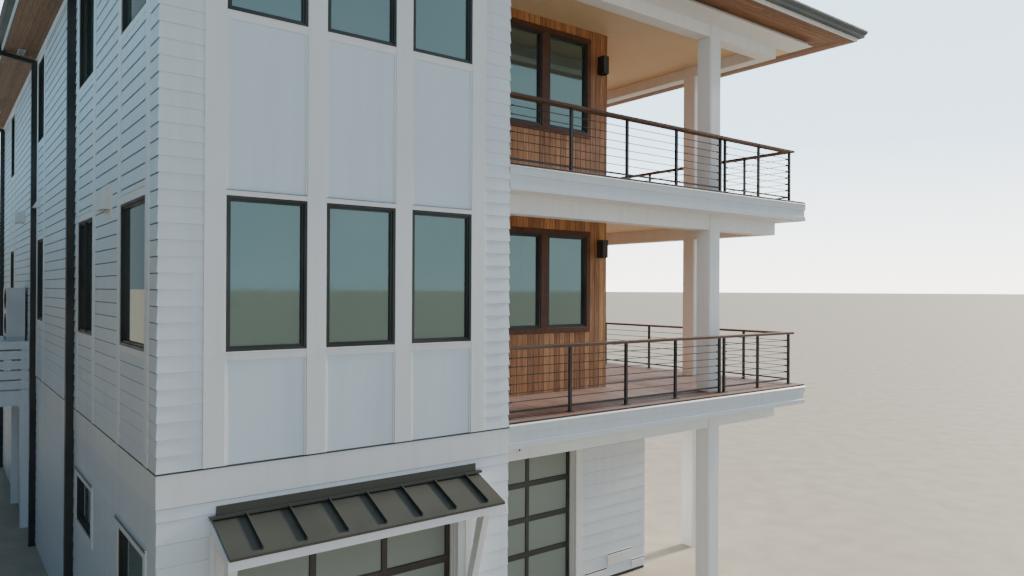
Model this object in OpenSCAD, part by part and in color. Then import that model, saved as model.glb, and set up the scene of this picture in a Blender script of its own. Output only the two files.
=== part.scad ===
// Two-storey beach house on a tall ground level, with covered decks that turn its front right corner.
// House axes: X runs right along the front, Y runs back, Z is up, from the front left ground corner.
// The whole house is then set down with the middle of its outline over the origin.

/* [Plan] */
// Width of the front block that stands forward of the recess
block_w = 4050; // [3700:10:4600]
// Depth of the recess behind the front decks
recess_d = 1830; // [1500:10:2200]
// Width of the two upper storeys behind the recess
house_w = 7560; // [7400:10:8200]
// Width of the enclosed ground level behind the recess
ground_w = 8580; // [8300:10:9200]
// Width from the left wall to the outer edge of the decks
deck_w = 10750; // [10500:10:11400]
// Length of the house from front to back
house_l = 18100; // [17700:50:21000]
// Thickness of the framed outer walls
wall_t = 180; // [140:5:220]

/* [Levels] */
// Height of the first floor and the first deck above the ground
first_z = 3340; // [3200:10:3600]
// Height from the first floor to the second floor
storey_h = 3260; // [3100:10:3600]
// Height from the second floor to the underside of its ceiling
top_room_h = 2800; // [2700:10:3000]
// Thickness of a floor or deck with its framing
floor_t = 340; // [260:10:380]
// Thickness of the slab on the ground
slab_t = 120; // [100:10:200]
// Thickness of the ceiling under the roof
ceiling_t = 90; // [60:5:140]

/* [Windows] */
// Height of the upper window sills above their floor
sill_h = 1045; // [900:5:1100]
// Height of the second floor's front window sills above their floor
high_front_sill_h = 1105; // [900:5:1150]
// Height of the second floor's left window sills above their floor
high_left_sill_h = 1160; // [900:5:1180]
// Height of the upper windows
window_h = 1520; // [1400:10:1600]
// Width of each front window
front_window_w = 820; // [700:10:900]
// Space between two front windows
front_window_gap = 210; // [150:10:300]
// Distance from the left wall to the first front window
front_window_x = 600; // [400:10:800]
// Distance from the front to the first window of the left wall
left_window_y = 450; // [400:10:900]
// Width of the first window of the left wall
left_window_w = 1215; // [900:5:1400]
// Distance from the front to the double window of the left wall
double_window_y = 3395; // [2600:5:3700]
// Width of the double window of the left wall
double_window_w = 1185; // [1000:5:1500]
// Distance from the front to the third window of the left wall
third_window_y = 8620; // [6500:10:8700]
// Width of the third window of the left wall
third_window_w = 960; // [700:10:1050]
// Distance from the last window of the left wall to the back
last_window_back = 2590; // [1500:10:3000]
// Width of the last window of the left wall
last_window_w = 970; // [600:10:1100]
// Width of a window in the back wall
back_window_w = 1200; // [900:10:1500]
// Height of the ground level window sills
low_sill_z = 1780; // [1500:10:2000]
// Height of the ground level windows
low_window_h = 620; // [400:10:900]
// Width of a window frame member
frame_w = 50; // [30:5:70]
// Depth of a window frame
frame_d = 90; // [80:5:120]
// Width of the step between a frame and its sash
sash_step = 22; // [10:1:28]
// Depth of a sash behind the frame's face
sash_back = 18; // [8:1:24]
// Distance that a window frame stands proud of the wall
frame_proud = 12; // [0:1:20]
// Thickness of a pane
glass_t = 24; // [6:1:30]
// Depth of a window pane behind the frame's face
glass_back = 44; // [30:1:50]
// Width of each window in the wood clad wall
wood_window_w = 845; // [700:5:900]
// Width of the post between two windows of the wood clad wall
wood_mullion_w = 150; // [80:5:200]
// Width of the solid wall right of the wood clad wall's windows
wood_end_w = 460; // [400:5:700]
// Width of a pair of deck doors
deck_door_w = 2400; // [1800:50:3000]
// Height of the deck doors
deck_door_h = 2290; // [2000:10:2500]

/* [Garage Doors] */
// Width of the front garage door
front_door_w = 2650; // [2400:10:2900]
// Distance from the left wall to the front garage door
front_door_x = 665; // [400:5:700]
// Width of the garage door in the recess
recess_door_w = 2745; // [2400:5:3000]
// Distance from the front block to the garage door in the recess
recess_door_x = 110; // [60:10:300]
// Height of a garage door
door_h = 2440; // [2200:10:2600]
// Number of sections in a garage door
door_sections = 4; // [3:1:5]
// Height of the front garage door's lowest section
front_low_section_h = 490; // [450:10:650]
// Height of the lowest section of the garage door in the recess
recess_low_section_h = 740; // [550:10:760]
// Number of panes across a garage door
door_panes = 3; // [2:1:5]
// Width of the outer members of a door section
door_rail_w = 94; // [40:2:110]
// Width of the bars between the panes of a door
door_bar_w = 80; // [30:2:100]
// Width of the step around a door's pane
door_bead = 8; // [4:1:12]
// Depth of the step around a door's pane
door_bead_d = 10; // [4:1:12]
// Thickness of a garage door
door_t = 50; // [40:5:60]
// Depth of a garage door behind the wall face
door_recess = 130; // [60:5:130]
// Gap around a garage door and between its sections
door_clear = 0.3; // [0.2:0.1:0.8]

/* [Decks] */
// Thickness of the deck boards
board_t = 28; // [20:1:40]
// Thickness of the fascia boards
fascia_t = 25; // [18:1:40]
// Height of the drip cap along the top of the fascia
cap_h = 16; // [10:1:25]
// Distance that the drip cap stands proud of the fascia
cap_proud = 26; // [18:1:34]
// Height of the raised band along the top of the fascia
top_band_h = 95; // [60:5:110]
// Height of the raised band along the bottom of the fascia
low_band_h = 75; // [50:5:100]
// Distance that the bands stand proud of the fascia
band_proud = 14; // [6:1:17]
// Width of a deck beam
beam_w = 240; // [160:5:280]
// Depth of a deck beam below the deck
beam_h = 250; // [180:10:320]
// Depth of the beams below the top ceiling
top_beam_h = 200; // [140:10:280]
// Distance from the fascia face to the beam
beam_inset = 360; // [250:10:450]
// Side of a square column
column_w = 265; // [240:5:340]
// Clear length of beam from the corner to the nearest column on each side
corner_reach = 1620; // [1300:10:1900]
// Number of columns along the right side
side_columns = 5; // [4:1:7]

/* [Railings] */
// Height of the railing above the deck
rail_h = 930; // [880:5:1070]
// Width of the wood top rail
top_rail_w = 140; // [90:5:160]
// Thickness of the wood top rail
top_rail_t = 38; // [25:1:45]
// Side of a square rail post
post_w = 38; // [32:1:60]
// Distance from the deck edge to the middle of the railing
rail_inset = 190; // [150:5:230]
// Length of the two bays on each side of the deck corner
corner_bay = 938; // [800:2:1000]
// Gap between the two posts where two railing sections meet
twin_gap = 83; // [60:1:120]
// Distance from a wall to the middle of the nearest rail post
wall_post = 128; // [70:2:160]
// Number of bays from the twin posts to the front block
front_bays = 4; // [3:1:6]
// Number of bays from the twin posts to the back of the deck
side_bays = 12; // [9:1:16]
// Number of bays across the back of the deck
back_bays = 3; // [2:1:4]
// Number of cables in a railing
cable_count = 6; // [5:1:9]
// Diameter of a cable
cable_d = 11; // [5:1:12]
// Radial clearance of a cable in a post
cable_clear = 1; // [0.5:0.5:2]
// Diameter of the fitting at the end of a cable
fitting_d = 22; // [16:1:26]
// Length of the fitting at the end of a cable
fitting_l = 60; // [40:5:90]
// Height of the bottom rail above the deck
low_rail_z = 77; // [60:1:120]
// Height of the bottom rail's section
low_rail_h = 25; // [18:1:30]
// Side of a post's square base plate
plate_w = 90; // [80:5:120]
// Thickness of a post's base plate
plate_t = 8; // [6:1:12]

/* [Awning] */
// Width of the metal awning over the front garage door
awning_w = 3110; // [2900:5:3400]
// Distance from the left wall to the awning
awning_x = 485; // [300:5:600]
// Height of the awning's roof at the wall
awning_z = 2800; // [2700:10:2850]
// Distance that the awning stands out from the wall
awning_d = 560; // [480:10:700]
// Fall of the awning from the wall to its front edge
awning_fall = 240; // [120:10:300]
// Number of standing seams
seams = 7; // [5:1:7]
// Distance from the awning's left end to the first seam
first_seam = 312; // [200:2:340]
// Distance from the last seam to the awning's right end
last_seam = 205; // [150:5:300]
// Height of a standing seam
seam_h = 39; // [20:1:50]
// Width of a standing seam
seam_w = 13; // [8:1:20]
// Distance from the end of a seam to the front edge
seam_short = 45; // [10:5:80]
// Thickness of the awning's sheet and deck together
awning_t = 26; // [15:1:40]
// Height of the flashing up the wall above the awning
flashing_h = 110; // [60:5:150]
// Thickness of the flashing
flashing_t = 24; // [15:1:30]
// Distance that the flashing stops short of the awning's ends
flashing_short = 40; // [0:5:80]
// Height of the flashing's shelf above the awning
shelf_z = 20; // [14:1:30]
// Distance that the shelf stands out from the wall
shelf_d = 58; // [40:1:70]
// Distance that the shelf runs past each end of the awning
shelf_past = 32; // [15:1:50]
// Height of the lip on the shelf's edge
lip_h = 26; // [15:1:32]
// Thickness of the shelf and its lip
lip_t = 5; // [2:1:8]
// Height of the white boards around the awning
awning_board_h = 95; // [70:5:150]
// Thickness of the white boards around the awning
awning_board_t = 38; // [25:1:50]
// Distance that the end boards stand outside the metal
board_past = 12; // [0:1:20]
// Width of an awning brace
brace_w = 85; // [60:5:110]
// Distance from the awning's left end to the left brace
left_brace = 36; // [30:2:120]
// Distance from the right brace to the awning's right end
right_brace = 105; // [30:5:150]
// Height from a strut's foot to the awning's sheet
strut_h = 1724; // [1200:4:1900]
// Height of the strut's foot on the wall
strut_foot = 300; // [150:10:400]
// Distance from the wall to the top of the strut
strut_reach = 450; // [380:5:500]
// Width of the top of the strut
strut_top = 115; // [80:5:150]
// Thickness of the brace's leg on the wall
leg_t = 38; // [25:1:50]

/* [Roof] */
// Width from the left wall to the right face of the roof band
roof_w = 10840; // [10600:10:11600]
// Overhang of the soffit beyond the walls and the band
overhang = 580; // [450:10:800]
// Rise of the roof for each unit that it runs
roof_pitch = 0.333; // [0.2:0.01:0.5]
// Height of the eave fascia boards
eave_fascia_h = 150; // [140:5:240]
// Thickness of the wood soffit boards
soffit_t = 20; // [12:1:30]
// Width of the gutter
gutter_w = 125; // [100:5:160]
// Height of the gutter
gutter_h = 125; // [90:5:140]
// Thickness of the gutter's metal
gutter_t = 4; // [2:1:6]
// Side of the square bead along the gutter's edge
bead = 10; // [6:1:14]
// Width of a downspout across the wall
spout_w = 110; // [75:5:130]
// Depth of a downspout from the wall
spout_d = 115; // [60:5:120]
// Fall of a downspout from the eave back to the wall
spout_fall = 85; // [40:5:200]
// Height of a downspout's strap
strap_h = 30; // [20:1:40]
// Distance that a strap stands around its downspout
strap_t = 4; // [2:1:8]
// Distance from the front to the first downspout
first_spout_y = 4920; // [4900:10:5600]
// Distance from the front to the second downspout
second_spout_y = 9700; // [9700:10:10600]
// Distance from the last downspout to the back
last_spout_back = 250; // [200:10:1200]

/* [Fittings] */
// Width of a wall light
light_w = 120; // [90:5:140]
// Depth of a wall light
light_d = 150; // [90:5:150]
// Height of a wall light
light_h = 300; // [200:10:400]
// Thickness of a wall light's shell
light_shell = 6; // [3:1:10]
// Depth of the openings in a wall light's two ends
light_cup = 60; // [30:5:90]
// Distance from the wall to a wall light's body
light_off = 20; // [16:1:40]
// Height of the wall light above the first deck
low_light_z = 2215; // [1800:5:2300]
// Height of the wall light above the second deck
high_light_z = 2085; // [1800:5:2200]
// Distance from the front to the wide vent hood
hood_y = 2160; // [1900:10:2900]
// Height of the wide vent hood above the first floor
hood_rise = 2560; // [2300:10:2900]
// Width of the wide vent hood
hood_w = 400; // [300:10:450]
// Height of the wide vent hood
hood_h = 300; // [200:10:340]
// Depth of the wide vent hood
hood_d = 125; // [90:5:160]
// Thickness of a vent hood's shell
hood_t = 5; // [3:1:8]
// Thickness of the block behind the wide vent hood
block_t = 30; // [20:1:40]
// Distance that the block runs below the wide vent hood
block_drop = 100; // [40:5:140]
// Distance from the start of the third left window to the small vent hood
small_hood_gap = 580; // [200:10:780]
// Distance from the small vent hood's foot up to the second floor
small_hood_drop = 90; // [40:5:150]
// Width and height of the small vent hood
small_hood_w = 240; // [150:10:300]
// Depth of the small vent hood
small_hood_d = 120; // [80:5:150]
// Distance from the front to the deep vent hood
deep_hood_y = 12000; // [11000:10:12500]
// Width of the deep vent hood
deep_hood_w = 300; // [250:10:450]
// Height of the deep vent hood
deep_hood_h = 280; // [200:10:350]
// Depth of the deep vent hood
deep_hood_d = 200; // [150:10:380]
// Height of the deep vent hood's top above the second floor
deep_hood_rise = 90; // [0:5:150]
// Width of the equipment platform out from the left wall
platform_w = 1250; // [1000:10:1500]
// Length of the equipment platform
platform_l = 2400; // [1800:50:3000]
// Distance from the front to the equipment platform
platform_y = 11100; // [10600:50:12000]
// Height of the equipment platform's floor
platform_z = 3880; // [3600:10:4200]
// Side of a leg of the equipment platform
platform_leg_w = 140; // [100:5:180]
// Height of the platform's edge board, under its floor
edge_board_h = 132; // [100:2:180]
// Number of boards in the platform's skirt, under the edge board
skirt_boards = 4; // [3:1:6]
// Distance from one skirt board to the next
skirt_pitch = 206; // [180:2:230]
// Gap between two skirt boards
skirt_gap = 34; // [5:1:40]
// Height of the rim under the skirt boards
rim_h = 310; // [150:10:350]
// Length of the condenser along the wall
condenser_l = 950; // [800:10:1100]
// Depth of the condenser
condenser_d = 320; // [280:10:400]
// Height of the condenser's case
condenser_h = 1030; // [900:10:1400]
// Height of the joint between the condenser's two halves
condenser_joint = 550; // [450:10:650]
// Height and width of the condenser's feet
foot_h = 80; // [40:5:120]
// Distance from the wall to the condenser
condenser_off = 60; // [40:5:150]
// Distance from the platform's front edge to the condenser
condenser_y = 200; // [100:10:500]
// Diameter of a fan opening
fan_d = 430; // [300:10:440]
// Depth of a fan opening
fan_recess = 70; // [40:5:120]
// Diameter of a fan's hub
hub_d = 120; // [80:5:160]

/* [Hidden] */

second_z = first_z + storey_h;
ceiling_z = second_z + top_room_h;
soffit_z = ceiling_z + ceiling_t;
roof_z = soffit_z + soffit_t;
floor_levels = [first_z, second_z];

// Outline of the whole house, used to set it down over the origin
eave_out = overhang + fascia_t + gutter_w;
x_low = -max(eave_out, platform_w);
x_high = roof_w + eave_out;
y_low = -eave_out;
y_high = house_l + eave_out;

// Windows of a wall as [distance from the wall's start, width, panes across]
front_openings = [for (i = [0:2])
    [front_window_x + i * (front_window_w + front_window_gap), front_window_w, 1]];
left_low_openings = [[left_window_y, left_window_w, 1], [double_window_y, double_window_w, 1]];
left_openings = [[left_window_y, left_window_w, 1], [double_window_y, double_window_w, 2],
    [third_window_y, third_window_w, 1],
    [house_l - last_window_back - last_window_w, last_window_w, 1]];
back_gap = (house_w - 3 * back_window_w) / 4;
back_openings = [for (i = [0:2]) [back_gap + i * (back_window_w + back_gap), back_window_w, 1]];
wood_run = 2 * wood_window_w + wood_mullion_w;
wood_openings = [for (i = [0:1])
    [house_w - wood_end_w - wood_run + i * (wood_window_w + wood_mullion_w), wood_window_w, 1]];
right_openings = [for (part = [0.18, 0.6, 0.82], i = [0:1])
    [part * house_l + i * (wood_window_w + wood_mullion_w), wood_window_w, 1]];
deck_door_y = 0.38 * house_l;

// Openings with their heights, as [distance, sill, width, height, panes across]
function sized(openings, z, h) = [for (o = openings) [o[0], z, o[1], h, o[2]]];
function both_storeys(openings, high_sill) = concat(
    sized(openings, first_z + sill_h, window_h),
    sized(openings, second_z + high_sill, window_h));
function door_openings() = [for (z = floor_levels) [deck_door_y, z, deck_door_w, deck_door_h, 2]];

// Sets the house down with the middle of its outline over the origin
module set_down() translate([-(x_low + x_high) / 2, -(y_low + y_high) / 2, 0]) children();

// Turns a wall drawn along X, with its outside towards -Y, to one side of the house
module on_side(side, at) {
    if (side == "front") translate([0, at, 0]) children();
    if (side == "left") translate([at, 0, 0]) mirror([1, -1, 0]) children();
    if (side == "right") translate([at, 0, 0]) rotate([0, 0, 90]) children();
    if (side == "back") translate([0, at, 0]) mirror([0, 1, 0]) children();
}

module wall(x0, x1, z0, z1, openings = []) {
    difference() {
        translate([x0, 0, z0]) cube([x1 - x0, wall_t, z1 - z0]);
        for (o = openings) translate([o[0], -1, o[1]]) cube([o[2], wall_t + 2, o[3]]);
    }
}

// A frame with a stepped sash around each of its panes
module window_frame(o) {
    pane_w = (o[2] - (o[4] + 1) * frame_w) / o[4];
    pane_h = o[3] - 2 * frame_w;
    translate([o[0], -frame_proud, o[1]]) difference() {
        cube([o[2], frame_d, o[3]]);
        for (i = [0:o[4] - 1]) translate([frame_w + i * (pane_w + frame_w), -1, frame_w]) {
            cube([pane_w, frame_d + 2, pane_h]);
            translate([-sash_step, 0, -sash_step])
                cube([pane_w + 2 * sash_step, sash_back + 1, pane_h + 2 * sash_step]);
        }
    }
}

module window_pane(o) {
    pane_w = (o[2] - (o[4] + 1) * frame_w) / o[4];
    for (i = [0:o[4] - 1])
        translate([o[0] + frame_w + i * (pane_w + frame_w), glass_back - frame_proud,
            o[1] + frame_w])
            cube([pane_w, glass_t, o[3] - 2 * frame_w]);
}

module frames(openings) for (o = openings) window_frame(o);
module panes(openings) for (o = openings) window_pane(o);

module outline(width) polygon([[0, 0], [block_w, 0], [block_w, recess_d], [width, recess_d],
    [width, house_l], [0, house_l]]);

module inner_outline(width) polygon([[wall_t, wall_t], [block_w - wall_t, wall_t],
    [block_w - wall_t, recess_d + wall_t], [width - wall_t, recess_d + wall_t],
    [width - wall_t, house_l - wall_t], [wall_t, house_l - wall_t]]);

module deck_outline(inset) polygon([[block_w, inset], [deck_w - inset, inset],
    [deck_w - inset, house_l - inset], [house_w, house_l - inset], [house_w, recess_d],
    [block_w, recess_d]]);

module level(z, h) translate([0, 0, z]) linear_extrude(h) children();

// Ground level
module ground_floor_slab() color("lightgray") set_down() level(0, slab_t) inner_outline(ground_w);

module ground_front_wall() color("white") set_down() on_side("front", 0)
    wall(0, block_w, 0, first_z - floor_t, [[front_door_x, -1, front_door_w, door_h + 1]]);

module ground_left_wall() color("white") set_down() on_side("left", 0)
    wall(wall_t, house_l - wall_t, 0, first_z - floor_t,
        sized(left_low_openings, low_sill_z, low_window_h));

module ground_recess_wall() color("white") set_down() on_side("front", recess_d)
    wall(block_w, ground_w, 0, first_z - floor_t,
        [[block_w + recess_door_x, -1, recess_door_w, door_h + 1]]);

module ground_right_wall() color("white") set_down() on_side("right", ground_w)
    wall(recess_d + wall_t, house_l - wall_t, 0, first_z - floor_t);

module ground_back_wall() color("white") set_down() on_side("back", house_l)
    wall(0, ground_w, 0, first_z - floor_t, sized(back_openings, low_sill_z, low_window_h));

// The short wall that joins the front block to the recess, on the ground and above it
module return_wall() color("white") set_down() on_side("right", block_w) {
    wall(wall_t, recess_d + wall_t, 0, first_z - floor_t);
    wall(wall_t, recess_d + wall_t, first_z, ceiling_z);
}

// Upper storeys
module first_floor() color("tan") set_down() level(first_z - floor_t, floor_t) outline(house_w);
module second_floor() color("tan") set_down()
    level(second_z - floor_t, floor_t) inner_outline(house_w);
module roof_plate() square([roof_w, house_l]);
module ceiling_outline() polygon([[0, 0], [block_w, 0], [block_w, fascia_t],
    [roof_w - fascia_t, fascia_t], [roof_w - fascia_t, house_l - fascia_t],
    [house_w, house_l - fascia_t], [house_w, house_l], [0, house_l]]);
module upper_ceiling() color("wheat") set_down()
    level(ceiling_z, ceiling_t + soffit_t) ceiling_outline();

module upper_front_wall() color("white") set_down() on_side("front", 0)
    wall(0, block_w, first_z, ceiling_z, both_storeys(front_openings, high_front_sill_h));

module upper_left_wall() color("white") set_down() on_side("left", 0)
    wall(wall_t, house_l - wall_t, first_z, ceiling_z,
        both_storeys(left_openings, high_left_sill_h));

module wood_clad_wall() color("sienna") set_down() on_side("front", recess_d)
    wall(block_w, house_w, first_z, ceiling_z, both_storeys(wood_openings, sill_h));

module upper_right_wall() color("sienna") set_down() on_side("right", house_w)
    wall(recess_d + wall_t, house_l - wall_t, first_z, ceiling_z,
        concat(both_storeys(right_openings, sill_h), door_openings()));

module upper_back_wall() color("white") set_down() on_side("back", house_l)
    wall(0, house_w, first_z, ceiling_z, both_storeys(back_openings, sill_h));

// Windows and deck doors
module ground_window_frames() color("black") set_down() {
    on_side("left", 0) frames(sized(left_low_openings, low_sill_z, low_window_h));
    on_side("back", house_l) frames(sized(back_openings, low_sill_z, low_window_h));
}

module storey_frames(floor_z, front_sill, left_sill) {
    on_side("front", 0) frames(sized(front_openings, floor_z + front_sill, window_h));
    on_side("left", 0) frames(sized(left_openings, floor_z + left_sill, window_h));
    on_side("front", recess_d) frames(sized(wood_openings, floor_z + sill_h, window_h));
    on_side("right", house_w) frames(sized(right_openings, floor_z + sill_h, window_h));
    on_side("back", house_l) frames(sized(back_openings, floor_z + sill_h, window_h));
}

module first_window_frames() color("black") set_down() storey_frames(first_z, sill_h, sill_h);
module second_window_frames() color("black") set_down()
    storey_frames(second_z, high_front_sill_h, high_left_sill_h);
module deck_doors() color("black") set_down() on_side("right", house_w) frames(door_openings());

module window_glass() color("lightblue") set_down() {
    on_side("front", 0) panes(both_storeys(front_openings, high_front_sill_h));
    on_side("left", 0) panes(concat(both_storeys(left_openings, high_left_sill_h),
        sized(left_low_openings, low_sill_z, low_window_h)));
    on_side("front", recess_d) panes(both_storeys(wood_openings, sill_h));
    on_side("right", house_w) panes(concat(both_storeys(right_openings, sill_h),
        door_openings()));
    on_side("back", house_l) panes(concat(both_storeys(back_openings, sill_h),
        sized(back_openings, low_sill_z, low_window_h)));
}

// Sectional garage doors, drawn along X from their left edge. The sections over the lowest are alike.
function pane_width(width) =
    (width - 2 * door_clear - 2 * door_rail_w - (door_panes - 1) * door_bar_w) / door_panes;

// A door's sections as [foot, height]
function sections(low) = let (h = (door_h - low) / (door_sections - 1))
    concat([[0, low]], [for (s = [0:door_sections - 2]) [low + s * h, h]]);

// Blocks in the places of a section's panes, widened by a step on every side
module section_panes(width, section, y, depth, step) {
    pane_h = section[1] - door_clear - door_rail_w;
    for (i = [0:door_panes - 1])
        translate([door_clear + door_rail_w + i * (pane_width(width) + door_bar_w) - step, y,
            section[0] + door_rail_w / 2 - step])
            cube([pane_width(width) + 2 * step, depth, pane_h + 2 * step]);
}

module garage_door(width, low) for (section = sections(low)) difference() {
    translate([door_clear, 0, section[0]])
        cube([width - 2 * door_clear, door_t, section[1] - door_clear]);
    section_panes(width, section, -1, door_t + 2, 0);
    section_panes(width, section, -1, door_bead_d + 1, door_bead);
}

module garage_glass(width, low) for (section = sections(low))
    section_panes(width, section, (door_t - glass_t) / 2, glass_t, 0);

module at_front_door() translate([front_door_x, door_recess, 0]) children();
module at_recess_door()
    translate([block_w + recess_door_x, recess_d + door_recess, 0]) children();

module front_garage_door() color("darkslategray") set_down() at_front_door()
    garage_door(front_door_w, front_low_section_h);
module recess_garage_door() color("darkslategray") set_down() at_recess_door()
    garage_door(recess_door_w, recess_low_section_h);
module garage_door_glass() color("lightcyan") set_down() {
    at_front_door() garage_glass(front_door_w, front_low_section_h);
    at_recess_door() garage_glass(recess_door_w, recess_low_section_h);
}

// Decks. Their boards run over the fascia, to the edge of its drip cap.
module deck_frame(z) level(z - floor_t, floor_t - board_t) deck_outline(fascia_t);
module deck_frames() color("wheat") set_down() for (z = floor_levels) deck_frame(z);
module deck_boards() color("brown") set_down()
    for (z = floor_levels) level(z - board_t, board_t) deck_outline(-cap_proud);

module fascia_ring(z) level(z - floor_t, floor_t - board_t) difference() {
    deck_outline(0);
    deck_outline(fascia_t);
}

module fascia_band(z, h, proud) level(z, h) difference() {
    deck_outline(-proud);
    deck_outline(0);
}

// Each deck's fascia has a drip cap over two raised bands, with a flat strip between the bands
module deck_fascia() color("white") set_down() for (z = floor_levels) {
    fascia_ring(z);
    fascia_band(z - board_t - cap_h, cap_h, cap_proud);
    fascia_band(z - board_t - cap_h - top_band_h, top_band_h, band_proud);
    fascia_band(z - floor_t, low_band_h, band_proud);
}

// Columns stand in line with the beams, which they interrupt
beam_edge_x = deck_w - beam_inset;
front_column_x = beam_edge_x - corner_reach - column_w;
first_side_y = beam_inset + corner_reach;
last_side_y = house_l - beam_inset - column_w;
side_pitch = (last_side_y - first_side_y) / (side_columns - 1);
column_spots = concat([[front_column_x, beam_inset - (column_w - beam_w) / 2]],
    [for (i = [0:side_columns - 1])
        [beam_edge_x - column_w + (column_w - beam_w) / 2, first_side_y + i * side_pitch]]);

module column_plan() for (spot = column_spots) translate(spot) square(column_w);

module columns() color("white") set_down() {
    level(0, first_z - floor_t) column_plan();
    level(first_z, storey_h - floor_t) column_plan();
    level(second_z, top_room_h) column_plan();
}

module beam_plan() difference() {
    union() {
        translate([block_w, beam_inset]) square([beam_edge_x - block_w, beam_w]);
        translate([beam_edge_x - beam_w, beam_inset])
            square([beam_w, house_l - 2 * beam_inset]);
    }
    column_plan();
}

module deck_beams() color("white") set_down() {
    for (z = floor_levels) level(z - floor_t - beam_h, beam_h) beam_plan();
    level(ceiling_z - top_beam_h, top_beam_h) beam_plan();
}

// Railings. A run is drawn along X from its first post, and posts is a list of places along it.
corner_x = deck_w - rail_inset;
back_y = house_l - rail_inset;
twin_pitch = twin_gap + post_w;
front_twin = corner_x - 2 * corner_bay;
side_twin = rail_inset + 2 * corner_bay;
front_start = block_w + wall_post;
back_start = house_w + wall_post;
front_pitch = (front_twin - twin_pitch - front_start) / front_bays;
side_pitch_rail = (back_y - side_twin - twin_pitch) / side_bays;
back_pitch = (corner_x - back_start) / back_bays;
cable_low = low_rail_z + low_rail_h;
cable_step = (rail_h - top_rail_t - cable_low) / (cable_count + 1);

// Each run is a list of its posts' places
front_run = [for (i = [0:front_bays]) front_start + i * front_pitch];
front_corner_run = [for (i = [0:2]) front_twin + i * corner_bay];
side_corner_run = [for (i = [0:2]) rail_inset + i * corner_bay];
side_run = [for (i = [0:side_bays]) side_twin + twin_pitch + i * side_pitch_rail];
back_run = [for (i = [0:back_bays]) back_start + i * back_pitch];

module cable_holes(z) for (i = [1:cable_count])
    translate([0, 0, z + cable_low + i * cable_step])
        rotate([0, 90, 0]) cylinder(d = cable_d + 2 * cable_clear, h = 2 * post_w,
            center = true, $fn = 24);

module post(z, through) difference() {
    union() {
        translate([-post_w / 2, -post_w / 2, z])
            cube([post_w, post_w, rail_h - top_rail_t]);
        translate([-plate_w / 2, -plate_w / 2, z]) cube([plate_w, plate_w, plate_t]);
    }
    if (through) cable_holes(z);
}

// The inner posts of a run, which its cables pass through
module inner_posts(run, z) for (i = [1:len(run) - 2]) translate([run[i], 0, 0]) post(z, true);

module end_post(x, z) translate([x, 0, 0]) post(z, false);

// A run with its inner posts, the end posts that it doesn't share, and its bottom rail
module railing(run, own_first, own_last, z) {
    last = run[len(run) - 1];
    from = run[0] + (own_first ? 0 : post_w / 2);
    to = last - (own_last ? 0 : post_w / 2);
    inner_posts(run, z);
    if (own_first) end_post(run[0], z);
    if (own_last) end_post(last, z);
    translate([from, -post_w / 4, z + low_rail_z]) cube([to - from, post_w / 2, low_rail_h]);
}

module front_rail_posts() color("black") set_down() for (z = floor_levels)
    on_side("front", rail_inset) {
        railing(front_run, true, true, z);
        railing(front_corner_run, true, true, z);
    }

module side_rail_posts() color("black") set_down() for (z = floor_levels)
    on_side("right", corner_x) {
        railing(side_corner_run, false, true, z);
        railing(side_run, true, true, z);
    }

module back_rail_posts() color("black") set_down() for (z = floor_levels)
    on_side("front", back_y) railing(back_run, true, false, z);

module cable(x0, x1) rotate([0, 90, 0]) union() {
    translate([0, 0, x0]) cylinder(d = cable_d, h = x1 - x0, $fn = 24);
    translate([0, 0, x0]) cylinder(d = fitting_d, h = fitting_l, $fn = 24);
    translate([0, 0, x1 - fitting_l]) cylinder(d = fitting_d, h = fitting_l, $fn = 24);
}

module cables(run) for (z = floor_levels, i = [1:cable_count])
    translate([0, 0, z + cable_low + i * cable_step])
        cable(run[0] + post_w / 2, run[len(run) - 1] - post_w / 2);

module front_rail_cables() color("dimgray") set_down() on_side("front", rail_inset) {
    cables(front_run);
    cables(front_corner_run);
}

module side_rail_cables() color("dimgray") set_down() on_side("right", corner_x) {
    cables(side_corner_run);
    cables(side_run);
}

module back_rail_cables() color("dimgray") set_down() on_side("front", back_y)
    cables(back_run);

// The top rails are mitred at the deck's two corners, with a hairline joint
mitre_gap = 0.5;

module top_rail_plan() difference() {
    polygon([[block_w, rail_inset - top_rail_w / 2],
        [corner_x + top_rail_w / 2, rail_inset - top_rail_w / 2],
        [corner_x + top_rail_w / 2, back_y + top_rail_w / 2],
        [house_w, back_y + top_rail_w / 2],
        [house_w, back_y - top_rail_w / 2],
        [corner_x - top_rail_w / 2, back_y - top_rail_w / 2],
        [corner_x - top_rail_w / 2, rail_inset + top_rail_w / 2],
        [block_w, rail_inset + top_rail_w / 2]]);
    for (corner = [[corner_x, rail_inset, -45], [corner_x, back_y, 45]])
        translate([corner[0], corner[1]]) rotate(corner[2])
            square([2 * top_rail_w, mitre_gap], center = true);
}

module top_rails() color("saddlebrown") set_down()
    for (z = floor_levels) level(z + rail_h - top_rail_t, top_rail_t) top_rail_plan();

// Standing seam awning. Its profiles are drawn outwards from the wall, then run along X.
awning_slope = awning_fall / awning_d;
seam_pitch = (awning_w - first_seam - last_seam - seam_w) / (seams - 1);

module along_x(x, w) translate([x + w, 0, 0]) rotate([90, 0, -90]) linear_extrude(w) children();

module slope_profile(low, high, from, to) polygon([[from, low - awning_slope * from],
    [to, low - awning_slope * to], [to, high - awning_slope * to],
    [from, high - awning_slope * from]]);

module flashing_shelf() polygon([[0, shelf_z - lip_t], [shelf_d - lip_t, shelf_z - lip_t],
    [shelf_d - lip_t, shelf_z - lip_h], [shelf_d, shelf_z - lip_h], [shelf_d, shelf_z],
    [0, shelf_z]]);

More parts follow.
